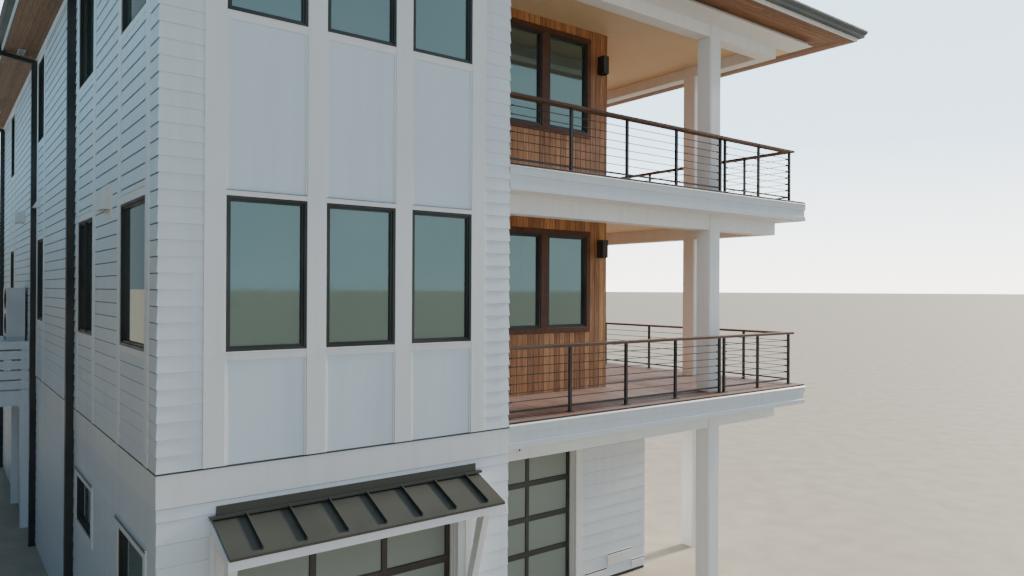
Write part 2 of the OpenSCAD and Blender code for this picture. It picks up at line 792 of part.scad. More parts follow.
module awning_roof() color("black") set_down() translate([0, 0, awning_z]) {
    along_x(awning_x, awning_w) slope_profile(-awning_t, 0, 0, awning_d);
    for (i = [0:seams - 1]) along_x(awning_x + first_seam + i * seam_pitch, seam_w)
        slope_profile(-awning_t / 2, seam_h, shelf_d - lip_t, awning_d - seam_short);
    along_x(awning_x + flashing_short, awning_w - 2 * flashing_short)
        translate([0, -awning_t]) square([flashing_t, awning_t + flashing_h]);
    along_x(awning_x - shelf_past, awning_w + 2 * shelf_past) flashing_shelf();
}

// White boards under the awning's edges, and its two braces
board_reach = awning_d - board_past;
brace_places = [awning_x + left_brace, awning_x + awning_w - right_brace - brace_w];

module awning_frame() color("white") set_down() translate([0, 0, awning_z - awning_t]) {
    difference() {
        along_x(awning_x - board_past, awning_w + 2 * board_past)
            slope_profile(-awning_board_h, 0, 0, board_reach);
        along_x(awning_x - board_past + awning_board_t,
            awning_w + 2 * board_past - 2 * awning_board_t)
            slope_profile(-2 * awning_board_h, awning_board_h, -1, board_reach - awning_board_t);
    }
    for (x = brace_places) along_x(x, brace_w) brace_profile();
}

// A rafter under the sheet, a leg on the wall, and a steep strut from the leg to the rafter
module brace_profile() {
    slope_profile(-awning_board_h, 0, 0, board_reach - awning_board_t);
    translate([0, -strut_h - leg_t]) square([leg_t, strut_h + leg_t]);
    polygon([[0, -strut_h], [strut_reach, -awning_board_h / 2 - awning_slope * strut_reach],
        [strut_reach - strut_top,
            -awning_board_h / 2 - awning_slope * (strut_reach - strut_top)],
        [0, strut_foot - strut_h]]);
}

// Roof
roof_x0 = -overhang;
roof_y0 = -overhang;
roof_full_w = roof_w + 2 * overhang;
roof_full_l = house_l + 2 * overhang;

// A hip roof is where two gable prisms of one slope cross
module hip(inset, edge) {
    half = roof_full_w / 2 - inset;
    peak = half * roof_pitch;
    length = roof_full_l - 2 * inset;
    translate([roof_x0 + inset, roof_y0 + inset, 0]) intersection() {
        translate([0, length, 0]) rotate([90, 0, 0]) linear_extrude(length)
            polygon([[0, 0], [2 * half, 0], [2 * half, edge], [half, edge + peak], [0, edge]]);
        translate([2 * half, 0, 0]) rotate([90, 0, -90]) mirror([1, 0, 0])
            linear_extrude(2 * half)
            polygon([[0, 0], [length, 0], [length, edge], [length - half, edge + peak],
                [half, edge + peak], [0, edge]]);
    }
}

// The attic is open above the ceiling, and the roof bears on the walls' full thickness
module roof() color("dimgray") set_down() translate([0, 0, roof_z]) difference() {
    hip(0, eave_fascia_h);
    translate([0, 0, -1]) hip(overhang + wall_t, 1);
}

module ring(z, h, inner, outer) level(z, h) difference() {
    translate([-outer, -outer]) square([roof_w + 2 * outer, house_l + 2 * outer]);
    translate([-inner, -inner]) square([roof_w + 2 * inner, house_l + 2 * inner]);
}

// White boards at the eaves, and the band along the outer edge of the deck ceiling
module fascia_boards() color("white") set_down() {
    ring(soffit_z - cap_h, roof_z - soffit_z + cap_h + eave_fascia_h, overhang,
        overhang + fascia_t);
    level(ceiling_z, ceiling_t) difference() {
        roof_plate();
        ceiling_outline();
    }
}

module eave_soffit() color("peru") set_down() level(soffit_z, soffit_t) difference() {
    translate([-overhang, -overhang]) square([roof_full_w, roof_full_l]);
    ceiling_outline();
}

// Gutter. Its section runs out from its back and curves up to a bead, as parts of width and height.
gutter_z = roof_z + eave_fascia_h - gutter_h;
gutter_back = overhang + fascia_t;
ogee = [[0.68, 0], [0.7, 0.3], [0.78, 0.43], [0.91, 0.56], [0.98, 0.69], [1, 0.83]];

function ogee_point(p, t) = [p[0] * gutter_w - t, p[1] * gutter_h + t];

module gutter_section() polygon(concat([[0, gutter_h], [0, 0]],
    [for (p = ogee) ogee_point(p, 0)],
    [[gutter_w, gutter_h], [gutter_w - bead, gutter_h], [gutter_w - bead, gutter_h - bead],
        [gutter_w - gutter_t, gutter_h - bead]],
    [for (i = [len(ogee) - 1:-1:0]) ogee_point(ogee[i], gutter_t)],
    [[gutter_t, gutter_t], [gutter_t, gutter_h]]));

// One side's gutter, mitred at both ends
module gutter_run(from, to) intersection() {
    along_x(from - gutter_w, to - from + 2 * gutter_w) gutter_section();
    level(-1, gutter_h + 2) polygon([[from, 0], [to, 0], [to + gutter_w, -gutter_w],
        [from - gutter_w, -gutter_w]]);
}

module gutters() color("darkslategray") set_down() translate([0, 0, gutter_z]) {
    on_side("front", -gutter_back) gutter_run(-gutter_back, roof_w + gutter_back);
    on_side("back", house_l + gutter_back) gutter_run(-gutter_back, roof_w + gutter_back);
    on_side("left", -gutter_back) gutter_run(-gutter_back, house_l + gutter_back);
    on_side("right", roof_w + gutter_back) gutter_run(-gutter_back, house_l + gutter_back);
}

// Downspouts run back under the soffit from the gutter to the left wall, then down it
spout_places = [first_spout_y, second_spout_y, house_l - last_spout_back - spout_w];
outlet = gutter_back + gutter_t;
outlet_d = min(spout_d, 0.64 * gutter_w);
elbow_z = soffit_z - cap_h - strap_t;
spout_slope = spout_fall / outlet;
strap_levels = [0.08, 0.36, 0.64, 0.92];

function spout_top(reach) = elbow_z - spout_fall + spout_slope * reach;

module spout_profile() polygon([[outlet + outlet_d, gutter_z], [outlet, gutter_z],
    [outlet, spout_top(outlet)], [0, spout_top(0)], [0, 0], [spout_d, 0],
    [spout_d, spout_top(spout_d) - outlet_d],
    [outlet + outlet_d, spout_top(outlet + outlet_d) - outlet_d]]);

module downspouts() color("darkslategray") set_down() on_side("left", 0)
    for (y = spout_places) {
        along_x(y, spout_w) spout_profile();
        for (part = strap_levels) translate([y - strap_t, -spout_d - strap_t, part * elbow_z])
            cube([spout_w + 2 * strap_t, spout_d + strap_t, strap_h]);
    }

// Up and down lights on the wood clad wall
module wall_light(z) translate([house_w - wood_end_w / 3 - light_w / 2, recess_d, z]) {
    translate([light_w / 4, -light_off, light_h / 4]) cube([light_w / 2, light_off, light_h / 2]);
    translate([0, -light_off - light_d, 0]) difference() {
        cube([light_w, light_d, light_h]);
        for (end = [-1, light_h - light_cup]) translate([light_shell, light_shell, end])
            cube([light_w - 2 * light_shell, light_d - 2 * light_shell, light_cup + 1]);
    }
}

module wall_lights() color("black") set_down() {
    wall_light(first_z + low_light_z);
    wall_light(second_z + high_light_z);
}

// Vent hoods on the left wall, open underneath. Their profiles are drawn outwards from the wall.
module curved_hood(t) polygon([[0, -t], [hood_d - t, -t], [0.95 * hood_d - t, 0.55 * hood_h],
    [0.8 * hood_d - t, 0.8 * hood_h - t], [0.45 * hood_d - t, 0.95 * hood_h - t],
    [0, hood_h - t]]);
module wedge_hood(t) polygon([[0, -t], [small_hood_d - 2 * t, -t], [0, small_hood_w - 2 * t]]);
module box_hood(t) polygon([[0, -t], [deep_hood_d - t, -t],
    [deep_hood_d - t, 0.7 * deep_hood_h - t], [0, deep_hood_h - t]]);

module vent_hoods() color("white") set_down() on_side("left", 0) {
    translate([0, 0, first_z + hood_rise]) {
        translate([hood_y, -block_t, -block_drop]) cube([hood_w, block_t, hood_h + block_drop]);
        difference() {
            along_x(hood_y, hood_w) curved_hood(0);
            along_x(hood_y + hood_t, hood_w - 2 * hood_t) curved_hood(hood_t);
        }
    }
    translate([third_window_y + small_hood_gap, 0, second_z - small_hood_drop]) difference() {
        along_x(0, small_hood_w) wedge_hood(0);
        along_x(hood_t, small_hood_w - 2 * hood_t) wedge_hood(hood_t);
    }
    translate([deep_hood_y, 0, second_z + deep_hood_rise - deep_hood_h]) difference() {
        along_x(0, deep_hood_w) box_hood(0);
        along_x(hood_t, deep_hood_w - 2 * hood_t) box_hood(hood_t);
    }
}

// Equipment platform: its floor stands on four legs, and boards skirt its three open sides
module skirt_ring(z, h) level(z, h) translate([0, platform_y]) difference() {
    translate([-platform_w, 0]) square([platform_w, platform_l]);
    translate([fascia_t - platform_w, fascia_t])
        square([platform_w, platform_l - 2 * fascia_t]);
}

module equipment_platform() color("whitesmoke") set_down() {
    floor_low = platform_z - board_t;
    translate([-platform_w, platform_y, floor_low]) cube([platform_w, platform_l, board_t]);
    for (x = [fascia_t - platform_w, -platform_leg_w],
        y = [fascia_t, platform_l - fascia_t - platform_leg_w])
        translate([x, platform_y + y, 0]) cube([platform_leg_w, platform_leg_w, floor_low]);
    skirt_ring(floor_low - edge_board_h, edge_board_h);
    for (i = [1:skirt_boards])
        skirt_ring(floor_low - edge_board_h - i * skirt_pitch, skirt_pitch - skirt_gap);
    skirt_ring(floor_low - edge_board_h - skirt_boards * skirt_pitch - skirt_gap - rim_h, rim_h);
}

// Condenser, drawn along the wall with its face outwards: two halves of a case with a fan in each
joint_gap = 6;
joint_back = 4;
fan_levels = [condenser_joint / 2, (condenser_joint + joint_gap + condenser_h) / 2];

module condenser_case() {
    cube([condenser_l, condenser_d, condenser_joint]);
    translate([joint_back, joint_back, condenser_joint - 1])
        cube([condenser_l - 2 * joint_back, condenser_d - 2 * joint_back, joint_gap + 2]);
    translate([0, 0, condenser_joint + joint_gap])
        cube([condenser_l, condenser_d, condenser_h - condenser_joint - joint_gap]);
}

module at_fans() for (z = fan_levels) translate([0.38 * condenser_l, 0, z]) rotate([-90, 0, 0])
    children();

module condenser() color("lightslategray") set_down() on_side("left", 0)
    translate([platform_y + condenser_y, -condenser_off - condenser_d, platform_z]) {
        for (x = [foot_h / 2, condenser_l - 1.5 * foot_h]) translate([x, 0, 0])
            cube([foot_h, condenser_d, foot_h]);
        translate([0, 0, foot_h]) {
            difference() {
                condenser_case();
                at_fans() translate([0, 0, -1]) cylinder(d = fan_d, h = fan_recess + 1, $fn = 96);
            }
            at_fans() translate([0, 0, fan_recess / 3])
                cylinder(d = hub_d, h = fan_recess, $fn = 48);
        }
    }

ground_floor_slab();
ground_front_wall();
ground_left_wall();
ground_recess_wall();
ground_right_wall();
ground_back_wall();
return_wall();
front_garage_door();
recess_garage_door();
garage_door_glass();
first_floor();
second_floor();
upper_ceiling();
upper_front_wall();
upper_left_wall();
wood_clad_wall();
upper_right_wall();
upper_back_wall();
ground_window_frames();
first_window_frames();
second_window_frames();
deck_doors();
window_glass();
deck_frames();
deck_boards();
deck_fascia();
deck_beams();
columns();
front_rail_posts();
side_rail_posts();
back_rail_posts();
front_rail_cables();
side_rail_cables();
back_rail_cables();
top_rails();
awning_roof();
awning_frame();
roof();
fascia_boards();
eave_soffit();
gutters();
downspouts();
wall_lights();
vent_hoods();
equipment_platform();
condenser();
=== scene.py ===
"""Looks of the beach house: siding, boards, metalwork, finishes, light and camera around its solids."""
import logging
import math
import random
from dataclasses import dataclass, field, replace
from enum import Enum
from typing import Iterable, Sequence

import bmesh
import bpy
from mathutils import Matrix, Vector


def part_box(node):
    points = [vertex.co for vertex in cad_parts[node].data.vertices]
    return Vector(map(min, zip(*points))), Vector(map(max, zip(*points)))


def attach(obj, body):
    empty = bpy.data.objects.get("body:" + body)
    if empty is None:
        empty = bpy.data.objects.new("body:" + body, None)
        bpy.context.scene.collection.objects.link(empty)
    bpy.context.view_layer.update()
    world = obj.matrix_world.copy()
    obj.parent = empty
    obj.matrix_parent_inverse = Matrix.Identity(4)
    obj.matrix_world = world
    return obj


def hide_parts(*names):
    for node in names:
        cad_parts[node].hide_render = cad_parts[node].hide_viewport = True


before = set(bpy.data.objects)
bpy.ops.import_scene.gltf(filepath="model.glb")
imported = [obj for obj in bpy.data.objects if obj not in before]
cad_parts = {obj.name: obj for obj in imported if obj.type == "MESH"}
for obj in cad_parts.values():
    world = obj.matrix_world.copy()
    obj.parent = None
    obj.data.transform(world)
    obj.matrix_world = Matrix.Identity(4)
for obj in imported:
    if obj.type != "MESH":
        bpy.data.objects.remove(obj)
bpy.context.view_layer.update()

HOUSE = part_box("ground_front_wall")[0]
LOG = logging.getLogger("beach_house")

# Points and sizes are in metres. A hole is (u0, u1, v0, v1) on its wall face, and a colour is linear.
Vec = tuple[float, float, float]
Flat = tuple[float, float]
Hole = tuple[float, float, float, float]
Colour = tuple[float, float, float, float]
Tree = bpy.types.NodeTree
Node = bpy.types.Node
Socket = bpy.types.NodeSocket
Inputs = bpy.types.NodeInputs
Outputs = bpy.types.NodeOutputs


def corners(node: str) -> tuple[Vector, Vector]:
    """Gives a node's box in house metres, from the front left ground corner.

    Args:
        node: The name of a solid of the frame.

    Returns:
        The lowest and the highest corner.
    """
    low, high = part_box(node)
    return low - HOUSE, high - HOUSE


# The house's own sizes. Most are read from its solids, and the others are as the solids have them.
BLOCK_W = corners("upper_front_wall")[1].x
RECESS_D = corners("wood_clad_wall")[0].y
HOUSE_W = corners("wood_clad_wall")[1].x
GROUND_W = corners("ground_recess_wall")[1].x
HOUSE_L = corners("upper_back_wall")[1].y
DECK_LOW, DECK_HIGH = corners("deck_frames")
COLUMN_LOW, COLUMN_HIGH = corners("columns")
COLUMN_W = 0.265
FASCIA_T = 0.025
DECK_FRONT, DECK_RIGHT, DECK_BACK = DECK_LOW.y - FASCIA_T, DECK_HIGH.x + FASCIA_T, DECK_HIGH.y + FASCIA_T
FIRST_Z = corners("upper_front_wall")[0].z
CEILING_Z = corners("upper_front_wall")[1].z
SECOND_Z = corners("second_floor")[1].z
FLOOR_T = FIRST_Z - corners("first_floor")[0].z
BEAM_LOW, BEAM_HIGH = corners("deck_beams")
SOFFIT_LOW, SOFFIT_HIGH = corners("eave_soffit")
ROOF_W = SOFFIT_HIGH.x + SOFFIT_LOW.x
# Openings and bands, as the solids have them: edges along the wall, and heights above the ground.
WINDOW_H = 1.52
SILL_H = 1.045
FRONT_SILLS = (FIRST_Z + SILL_H, SECOND_Z + 1.105)
LEFT_SILLS = (FIRST_Z + SILL_H, SECOND_Z + 1.16)
WOOD_SILLS = (FIRST_Z + SILL_H, SECOND_Z + SILL_H)
FRONT_WINDOWS = ((0.60, 1.42), (1.63, 2.45), (2.66, 3.48))
LEFT_WINDOWS = ((0.45, 1.665), (3.395, 4.58), (8.62, 9.58), (14.54, 15.51))
LEFT_LOW_WINDOWS = LEFT_WINDOWS[:2]
LOW_SILL_Z, LOW_HEAD_Z = 1.78, 2.40
WOOD_WINDOWS = ((5.26, 6.105), (6.255, 7.10))
WOOD_WINDOW_W, WOOD_MULLION_W = 0.845, 0.15
BELT_Z = 3.29
BAND_LOW_Z = 2.96
# What the decks leave for the cladding, and a height over the whole house.
CLAD_T = 0.018
FULL_H = 20.0


@dataclass(frozen=True)
class Plane:
    """A wall face in house metres: u runs along it, v is the height and w stands out from it."""

    start: Flat
    along: Flat
    out: Flat

    def at(self, u: float, v: float, w: float) -> Vec:
        """Gives the point at a distance along the face, a height, and a distance out of it.

        Args:
            u: Distance along the face.
            v: Height above the ground.
            w: Distance out of the face.

        Returns:
            The point in house metres.
        """
        return (
            self.start[0] + self.along[0] * u + self.out[0] * w,
            self.start[1] + self.along[1] * u + self.out[1] * w,
            v,
        )


class Facing(Enum):
    """The four ways that an upright face can look: the way along it, and the way out of it."""

    FRONT = ((1.0, 0.0), (0.0, -1.0))
    BACK = ((1.0, 0.0), (0.0, 1.0))
    LEFT = ((0.0, 1.0), (-1.0, 0.0))
    RIGHT = ((0.0, 1.0), (1.0, 0.0))

    def plane(self, x: float = 0.0, y: float = 0.0) -> Plane:
        """Gives the face that looks this way and passes through a point of the ground."""
        return Plane((x, y), *self.value)


class Wall(Enum):
    """The faces that boards are fixed to."""

    FRONT = Facing.FRONT.plane()
    LEFT = Facing.LEFT.plane()
    RECESS = Facing.FRONT.plane(y=RECESS_D)
    RETURN = Facing.RIGHT.plane(BLOCK_W)
    RIGHT = Facing.RIGHT.plane(HOUSE_W)
    GROUND_RIGHT = Facing.RIGHT.plane(GROUND_W)
    BACK = Facing.BACK.plane(y=HOUSE_L)


def clear_spans(span: Flat, rise: Flat, holes: Iterable[Hole]) -> list[Flat]:
    """Finds where a horizontal strip of wall is free of holes.

    Args:
        span: The strip's two ends along the wall.
        rise: The strip's bottom and top.
        holes: Areas to leave free, each as (u0, u1, v0, v1).

    Returns:
        The free stretches, from the first to the last.
    """
    middle = (rise[0] + rise[1]) / 2
    cuts = sorted(
        (h[0], h[1]) for h in holes
        if h[2] < middle < h[3] and h[0] < span[1] and h[1] > span[0]
    )
    free, at = [], span[0]
    for low, high in cuts:
        if low > at + 1e-4:
            free.append((at, low))
        at = max(at, high)
    if at < span[1] - 1e-4:
        free.append((at, span[1]))
    return free


def eased(across: Flat, depth: Flat, ease: float) -> list[Flat]:
    """Draws a board's section, with eased outer edges.

    Args:
        across: The board's two edges.
        depth: Its back and its front, out of the wall.
        ease: Size of the chamfer on its outer edges, or 0 for sharp ones.

    Returns:
        The section's points as (place across, distance out).
    """
    (low, high), (back, front) = across, depth
    if not ease:
        return [(low, back), (low, front), (high, front), (high, back)]
    return [
        (low, back), (low, front - ease), (low + ease, front), (high - ease, front), (high, front - ease),
        (high, back),
    ]


def circle(centre: Vector, ahead: Vector, radius: float, sides: int) -> list[Vec]:
    """Sets points in a circle round an axis.

    Args:
        centre: The circle's centre.
        ahead: The axis's direction, one metre long.
        radius: The circle's radius.
        sides: Number of points.

    Returns:
        The points in order.
    """
    helper = Vector((0.0, 0.0, 1.0)) if abs(ahead.z) < 0.9 else Vector((1.0, 0.0, 0.0))
    side = ahead.cross(helper).normalized()
    up = side.cross(ahead)
    turns = [2 * math.pi * k / sides for k in range(sides)]
    return [tuple(centre + side * (radius * math.cos(t)) + up * (radius * math.sin(t))) for t in turns]


@dataclass
class Stock:
    """Points and faces gathered for one piece, in house metres."""

    points: list[Vec] = field(default_factory=list)
    faces: list[tuple[int, ...]] = field(default_factory=list)
    tones: list[float] = field(default_factory=list)
    coats: list[int] = field(default_factory=list)

    def skin(self, rings: Sequence[Sequence[Vec]], tone: float = 0.0, coat: int = 0) -> None:
        """Joins rings of points into one closed solid.

        Args:
            rings: Two or more rings with the same number of points.
            tone: The board's own shade, from 0 to 1.
            coat: Index of the finish.
        """
        base, count = len(self.points), len(rings[0])
        for ring in rings:
            self.points.extend(ring)
        made = [tuple(range(base + count - 1, base - 1, -1))]
        for step in range(len(rings) - 1):
            low = base + step * count
            for i in range(count):
                j = (i + 1) % count
                made.append((low + i, low + j, low + count + j, low + count + i))
        top = base + (len(rings) - 1) * count
        made.append(tuple(range(top, top + count)))
        self.faces.extend(made)
        self.tones.extend([tone] * len(made))
        self.coats.extend([coat] * len(made))

    def run(
        self, plane: Plane, section: Sequence[Flat], span: Flat, mitre: Flat = (0.0, 0.0),
        tone: float = 0.0, coat: int = 0,
    ) -> None:
        """Runs a section along a wall, with ends that are cut square or mitred.

        Args:
            plane: The wall face.
            section: The section's points as (height, distance out).
            span: The two ends along the wall.
            mitre: How far each end runs on for each metre out of the wall.
            tone: The board's own shade.
            coat: Index of the finish.
        """
        self.skin(
            [
                [plane.at(span[0] - mitre[0] * w, v, w) for v, w in section],
                [plane.at(span[1] + mitre[1] * w, v, w) for v, w in section],
            ],
            tone, coat,
        )

    def level(
        self, plane: Plane, span: Flat, rise: Flat, depth: Flat, ease: float = 0.0,
        mitre: Flat = (0.0, 0.0), tone: float = 0.0, coat: int = 0,
    ) -> None:
        """Fixes a horizontal board to a wall, with eased outer edges.

        Args:
            plane: The wall face.
            span: The board's two ends along the wall.
            rise: Its bottom and top.
            depth: Its back and its front, out of the wall.
            ease: Size of the chamfer on its outer edges.
            mitre: How far each end runs on for each metre out of the wall.
            tone: The board's own shade.
            coat: Index of the finish.
        """
        self.run(plane, eased(rise, depth, ease), span, mitre, tone, coat)

    def upright(
        self, plane: Plane, span: Flat, rise: Flat, depth: Flat, ease: float = 0.0,
        tone: float = 0.0, coat: int = 0,
    ) -> None:
        """Fixes a vertical board to a wall, with eased outer edges.

        Args:
            plane: The wall face.
            span: The board's two edges along the wall.
            rise: Its bottom and top.
            depth: Its back and its front, out of the wall.
            ease: Size of the chamfer on its outer edges.
            tone: The board's own shade.
            coat: Index of the finish.
        """
        section = eased(span, depth, ease)
        self.skin([[plane.at(u, v, w) for u, w in section] for v in rise], tone, coat)

    def bar(
        self, low: Vec, high: Vec, axis: int, ease: float = 0.0, tone: float = 0.0, coat: int = 0,
    ) -> None:
        """Makes a straight bar with four eased long edges.

        Args:
            low: Its lowest corner.
            high: Its highest corner.
            axis: 0, 1 or 2 for the direction of its length.
            ease: Size of the chamfer on its long edges.
            tone: The board's own shade.
            coat: Index of the finish.
        """
        a, b = (axis + 1) % 3, (axis + 2) % 3
        e = ease
        if e:
            section = [
                (low[a] + e, low[b]), (high[a] - e, low[b]), (high[a], low[b] + e),
                (high[a], high[b] - e), (high[a] - e, high[b]), (low[a] + e, high[b]),
                (low[a], high[b] - e), (low[a], low[b] + e),
            ]
        else:
            section = [(low[a], low[b]), (high[a], low[b]), (high[a], high[b]), (low[a], high[b])]
        rings = []
        for end in (low[axis], high[axis]):
            ring = []
            for p, q in section:
                point = [0.0, 0.0, 0.0]
                point[axis], point[a], point[b] = end, p, q
                ring.append((point[0], point[1], point[2]))
            rings.append(ring)
        self.skin(rings, tone, coat)

    def tube(self, path: Sequence[Vec], radius: float, sides: int = 8, closed: bool = False) -> None:
        """Sweeps a round rod along a path.

        Args:
            path: The points of the rod's centreline.
            radius: The rod's radius.
            sides: Number of facets around it.
            closed: Whether the path ends where it starts.
        """
        spots = [Vector(p) for p in path]
        if closed:
            spots.append(spots[0])
        rings = []
        for i, spot in enumerate(spots):
            if closed and i in (0, len(spots) - 1):
                ahead = spots[1] - spots[-2]
            else:
                ahead = spots[min(i + 1, len(spots) - 1)] - spots[max(i - 1, 0)]
            rings.append(circle(spot, ahead.normalized(), radius, sides))
        self.skin(rings)

    def disc(
        self, centre: Vec, axis: Vec, radii: Sequence[float], offsets: Sequence[float],
        sides: int = 32, coat: int = 0,
    ) -> None:
        """Turns a profile about an axis.

        Args:
            centre: A point on the axis.
            axis: The axis's direction.
            radii: The radius at each step of the profile.
            offsets: The distance along the axis at each step.
            sides: Number of facets around it.
            coat: Index of the finish.
        """
        middle, ahead = Vector(centre), Vector(axis).normalized()
        rings = [circle(middle + ahead * offset, ahead, radius, sides) for radius, offset in zip(radii, offsets)]
        self.skin(rings, coat=coat)

    def piece(
        self, name: str, finishes: Sequence["Finish"], replaces: Sequence[str] = (), rounded: bool = False,
    ) -> None:
        """Turns the gathered stock into one piece of the house.

        Args:
            name: The piece's name.
            finishes: Its finishes, in the order of the coats.
            replaces: Names of the solids that it stands for.
            rounded: Whether its gentle edges are shaded smooth.
        """
        mesh = bpy.data.meshes.new(name)
        mesh.from_pydata([Vector(p) + HOUSE for p in self.points], [], self.faces)
        tone = mesh.attributes.new("tone", "FLOAT", "FACE")
        tone.data.foreach_set("value", self.tones)
        mesh.polygons.foreach_set("material_index", self.coats)
        work = bmesh.new()
        work.from_mesh(mesh)
        bmesh.ops.recalc_face_normals(work, faces=work.faces)
        work.to_mesh(mesh)
        work.free()
        if rounded:
            mesh.polygons.foreach_set("use_smooth", [True] * len(mesh.polygons))
            mesh.set_sharp_from_angle(angle=math.radians(35))
        made = bpy.data.objects.new(name, mesh)
        bpy.context.scene.collection.objects.link(made)
        for finish in finishes:
            mesh.materials.append(finish.material())
        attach(made, "root")
        if replaces:
            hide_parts(*replaces)
        LOG.info("%s: %d faces", name, len(mesh.polygons))


def linear(red: float, green: float, blue: float) -> Colour:
    """Turns a screen colour into the linear colour that a shader takes.

    Args:
        red: Red from 0 to 255.
        green: Green from 0 to 255.
        blue: Blue from 0 to 255.

    Returns:
        The linear colour with full alpha.
    """
    parts = []
    for value in (red, green, blue):
        share = value / 255
        parts.append(share / 12.92 if share <= 0.04045 else ((share + 0.055) / 1.055) ** 2.4)
    return (parts[0], parts[1], parts[2], 1.0)


def shade(colour: Colour, amount: float) -> Colour:
    """Darkens or lightens a colour by a factor."""
    return (colour[0] * amount, colour[1] * amount, colour[2] * amount, 1.0)


class Graph:
    """Adds nodes to one node tree and wires them."""

    def __init__(self, tree: Tree) -> None:
        """Starts on a tree.

        Args:
            tree: The node tree of a material or a group.
        """
        self.tree = tree

    def wire(self, value: object, socket: Socket) -> None:
        """Links a socket to another, or sets its value.

        Args:
            value: An output socket, or a plain value.
            socket: The input socket.
        """
        if isinstance(value, Socket):
            self.tree.links.new(value, socket)
        else:
            socket.default_value = value

    def add(self, kind: str, wires: dict[str, object] | None = None, **settings: object) -> Node:
        """Adds a node.

        Args:
            kind: The node's type.
            wires: Values or output sockets for its inputs, by name.
            **settings: The node's own properties.

        Returns:
            The new node.
        """
        node = self.tree.nodes.new(kind)
        for key, value in settings.items():
            setattr(node, key, value)
        for key, value in (wires or {}).items():
            self.wire(value, node.inputs[key])
        return node

    def mix(self, factor: object, first: object, second: object, blend: str = "MIX") -> Socket:
        """Mixes two colours.

        Args:
            factor: Share of the second colour.
            first: The first colour.
            second: The second colour.
            blend: The blend mode.

        Returns:
            The mixed colour's socket.
        """
        node = self.tree.nodes.new("ShaderNodeMix")
        node.data_type, node.blend_type = "RGBA", blend
        for value, index in ((factor, 0), (first, 6), (second, 7)):
            self.wire(value, node.inputs[index])
        return node.outputs[2]

    def maths(self, operation: str, first: object, second: object = 0.0) -> Socket:
        """Adds a Math node.

        Args:
            operation: The node's operation.
            first: The first value.
            second: The second value.

        Returns:
            The result's socket.
        """
        node = self.tree.nodes.new("ShaderNodeMath")
        node.operation = operation
        self.wire(first, node.inputs[0])
        self.wire(second, node.inputs[1])
        return node.outputs[0]

    def remap(self, value: object, low: float, high: float) -> Socket:
        """Stretches a range of a value to run from 0 to 1.

        Args:
            value: The value's socket.
            low: The value that becomes 0.
            high: The value that becomes 1.

        Returns:
            The mapped value's socket.
        """
        return self.add("ShaderNodeMapRange", {"Value": value, "From Min": low, "From Max": high}).outputs["Result"]

    def noise(self, vector: object, scale: float, detail: float = 3.0, distortion: float = 0.0) -> Socket:
        """Adds a noise texture.

        Args:
            vector: The coordinates.
            scale: Its scale.
            detail: Number of octaves.
            distortion: How much it is bent.

        Returns:
            The noise value's socket.
        """
        return self.add(
            "ShaderNodeTexNoise",
            {"Vector": vector, "Scale": scale, "Detail": detail, "Distortion": distortion},
        ).outputs["Fac"]

    def coordinates(self, size: object) -> Socket:
        """Gives the object's own coordinates times a size.

        Args:
            size: The size's socket.

        Returns:
            The coordinates' socket.
        """
        node = self.add("ShaderNodeVectorMath", {"Scale": size}, operation="SCALE")
        self.wire(self.add("ShaderNodeTexCoord").outputs["Object"], node.inputs[0])
        return node.outputs[0]

    def ramp(self, value: object, stops: Sequence[tuple[float, Sequence[float]]]) -> Socket:
        """Turns a value into a colour by steps.

        Args:
            value: The value's socket.
            stops: Each step's value and colour.

        Returns:
            The colour's socket.
        """
        node = self.add("ShaderNodeValToRGB", {"Fac": value})
        marks = node.color_ramp.elements
        while len(marks) < len(stops):
            marks.new(0.5)
        for mark, (at, _) in zip(marks, stops):
            mark.position = at
        for mark, (_, colour) in zip(marks, stops):
            mark.color = (*colour[:3], 1.0)
        return node.outputs["Color"]

    def blend(
        self, mask: object, share: float, first: object, second: object, socket: Socket | None = None,
    ) -> Socket:
        """Mixes in a share of a second colour where a mask is bright.

        Args:
            mask: The mask's socket.
            share: Share of the second colour where the mask is 1.
            first: The first colour.
            second: The second colour.
            socket: The input that takes the result, if there is one.

        Returns:
            The mixed colour's socket.
        """
        mixed = self.mix(self.maths("MULTIPLY", mask, share), first, second)
        if socket:
            self.wire(mixed, socket)
        return mixed

    def roughen(self, mask: object, base: float, rise: float, shader: Node) -> None:
        """Sets a shader's roughness, which rises with a mask.

        Args:
            mask: The mask's socket.
            base: The roughness where the mask is 0.
            rise: How much it rises where the mask is 1.
            shader: The Principled shader.
        """
        self.wire(self.maths("ADD", base, self.maths("MULTIPLY", mask, rise)), shader.inputs["Roughness"])

    def relief(self, height: object, strength: float, depth: float, shader: Node) -> None:
        """Gives a shader relief.

        Args:
            height: The height's socket.
            strength: Strength of the relief.
            depth: Its depth in metres.
            shader: The Principled shader.
        """
        bump = self.add("ShaderNodeBump", {"Strength": strength, "Distance": depth, "Height": height})
        self.wire(bump.outputs[0], shader.inputs["Normal"])


class Effect(Enum):
    """Shared surface effects, each made once as a node group."""

    GRAIN = "wood_grain"
    WEATHER = "weathering"
    BRUSHED = "rolled_metal"


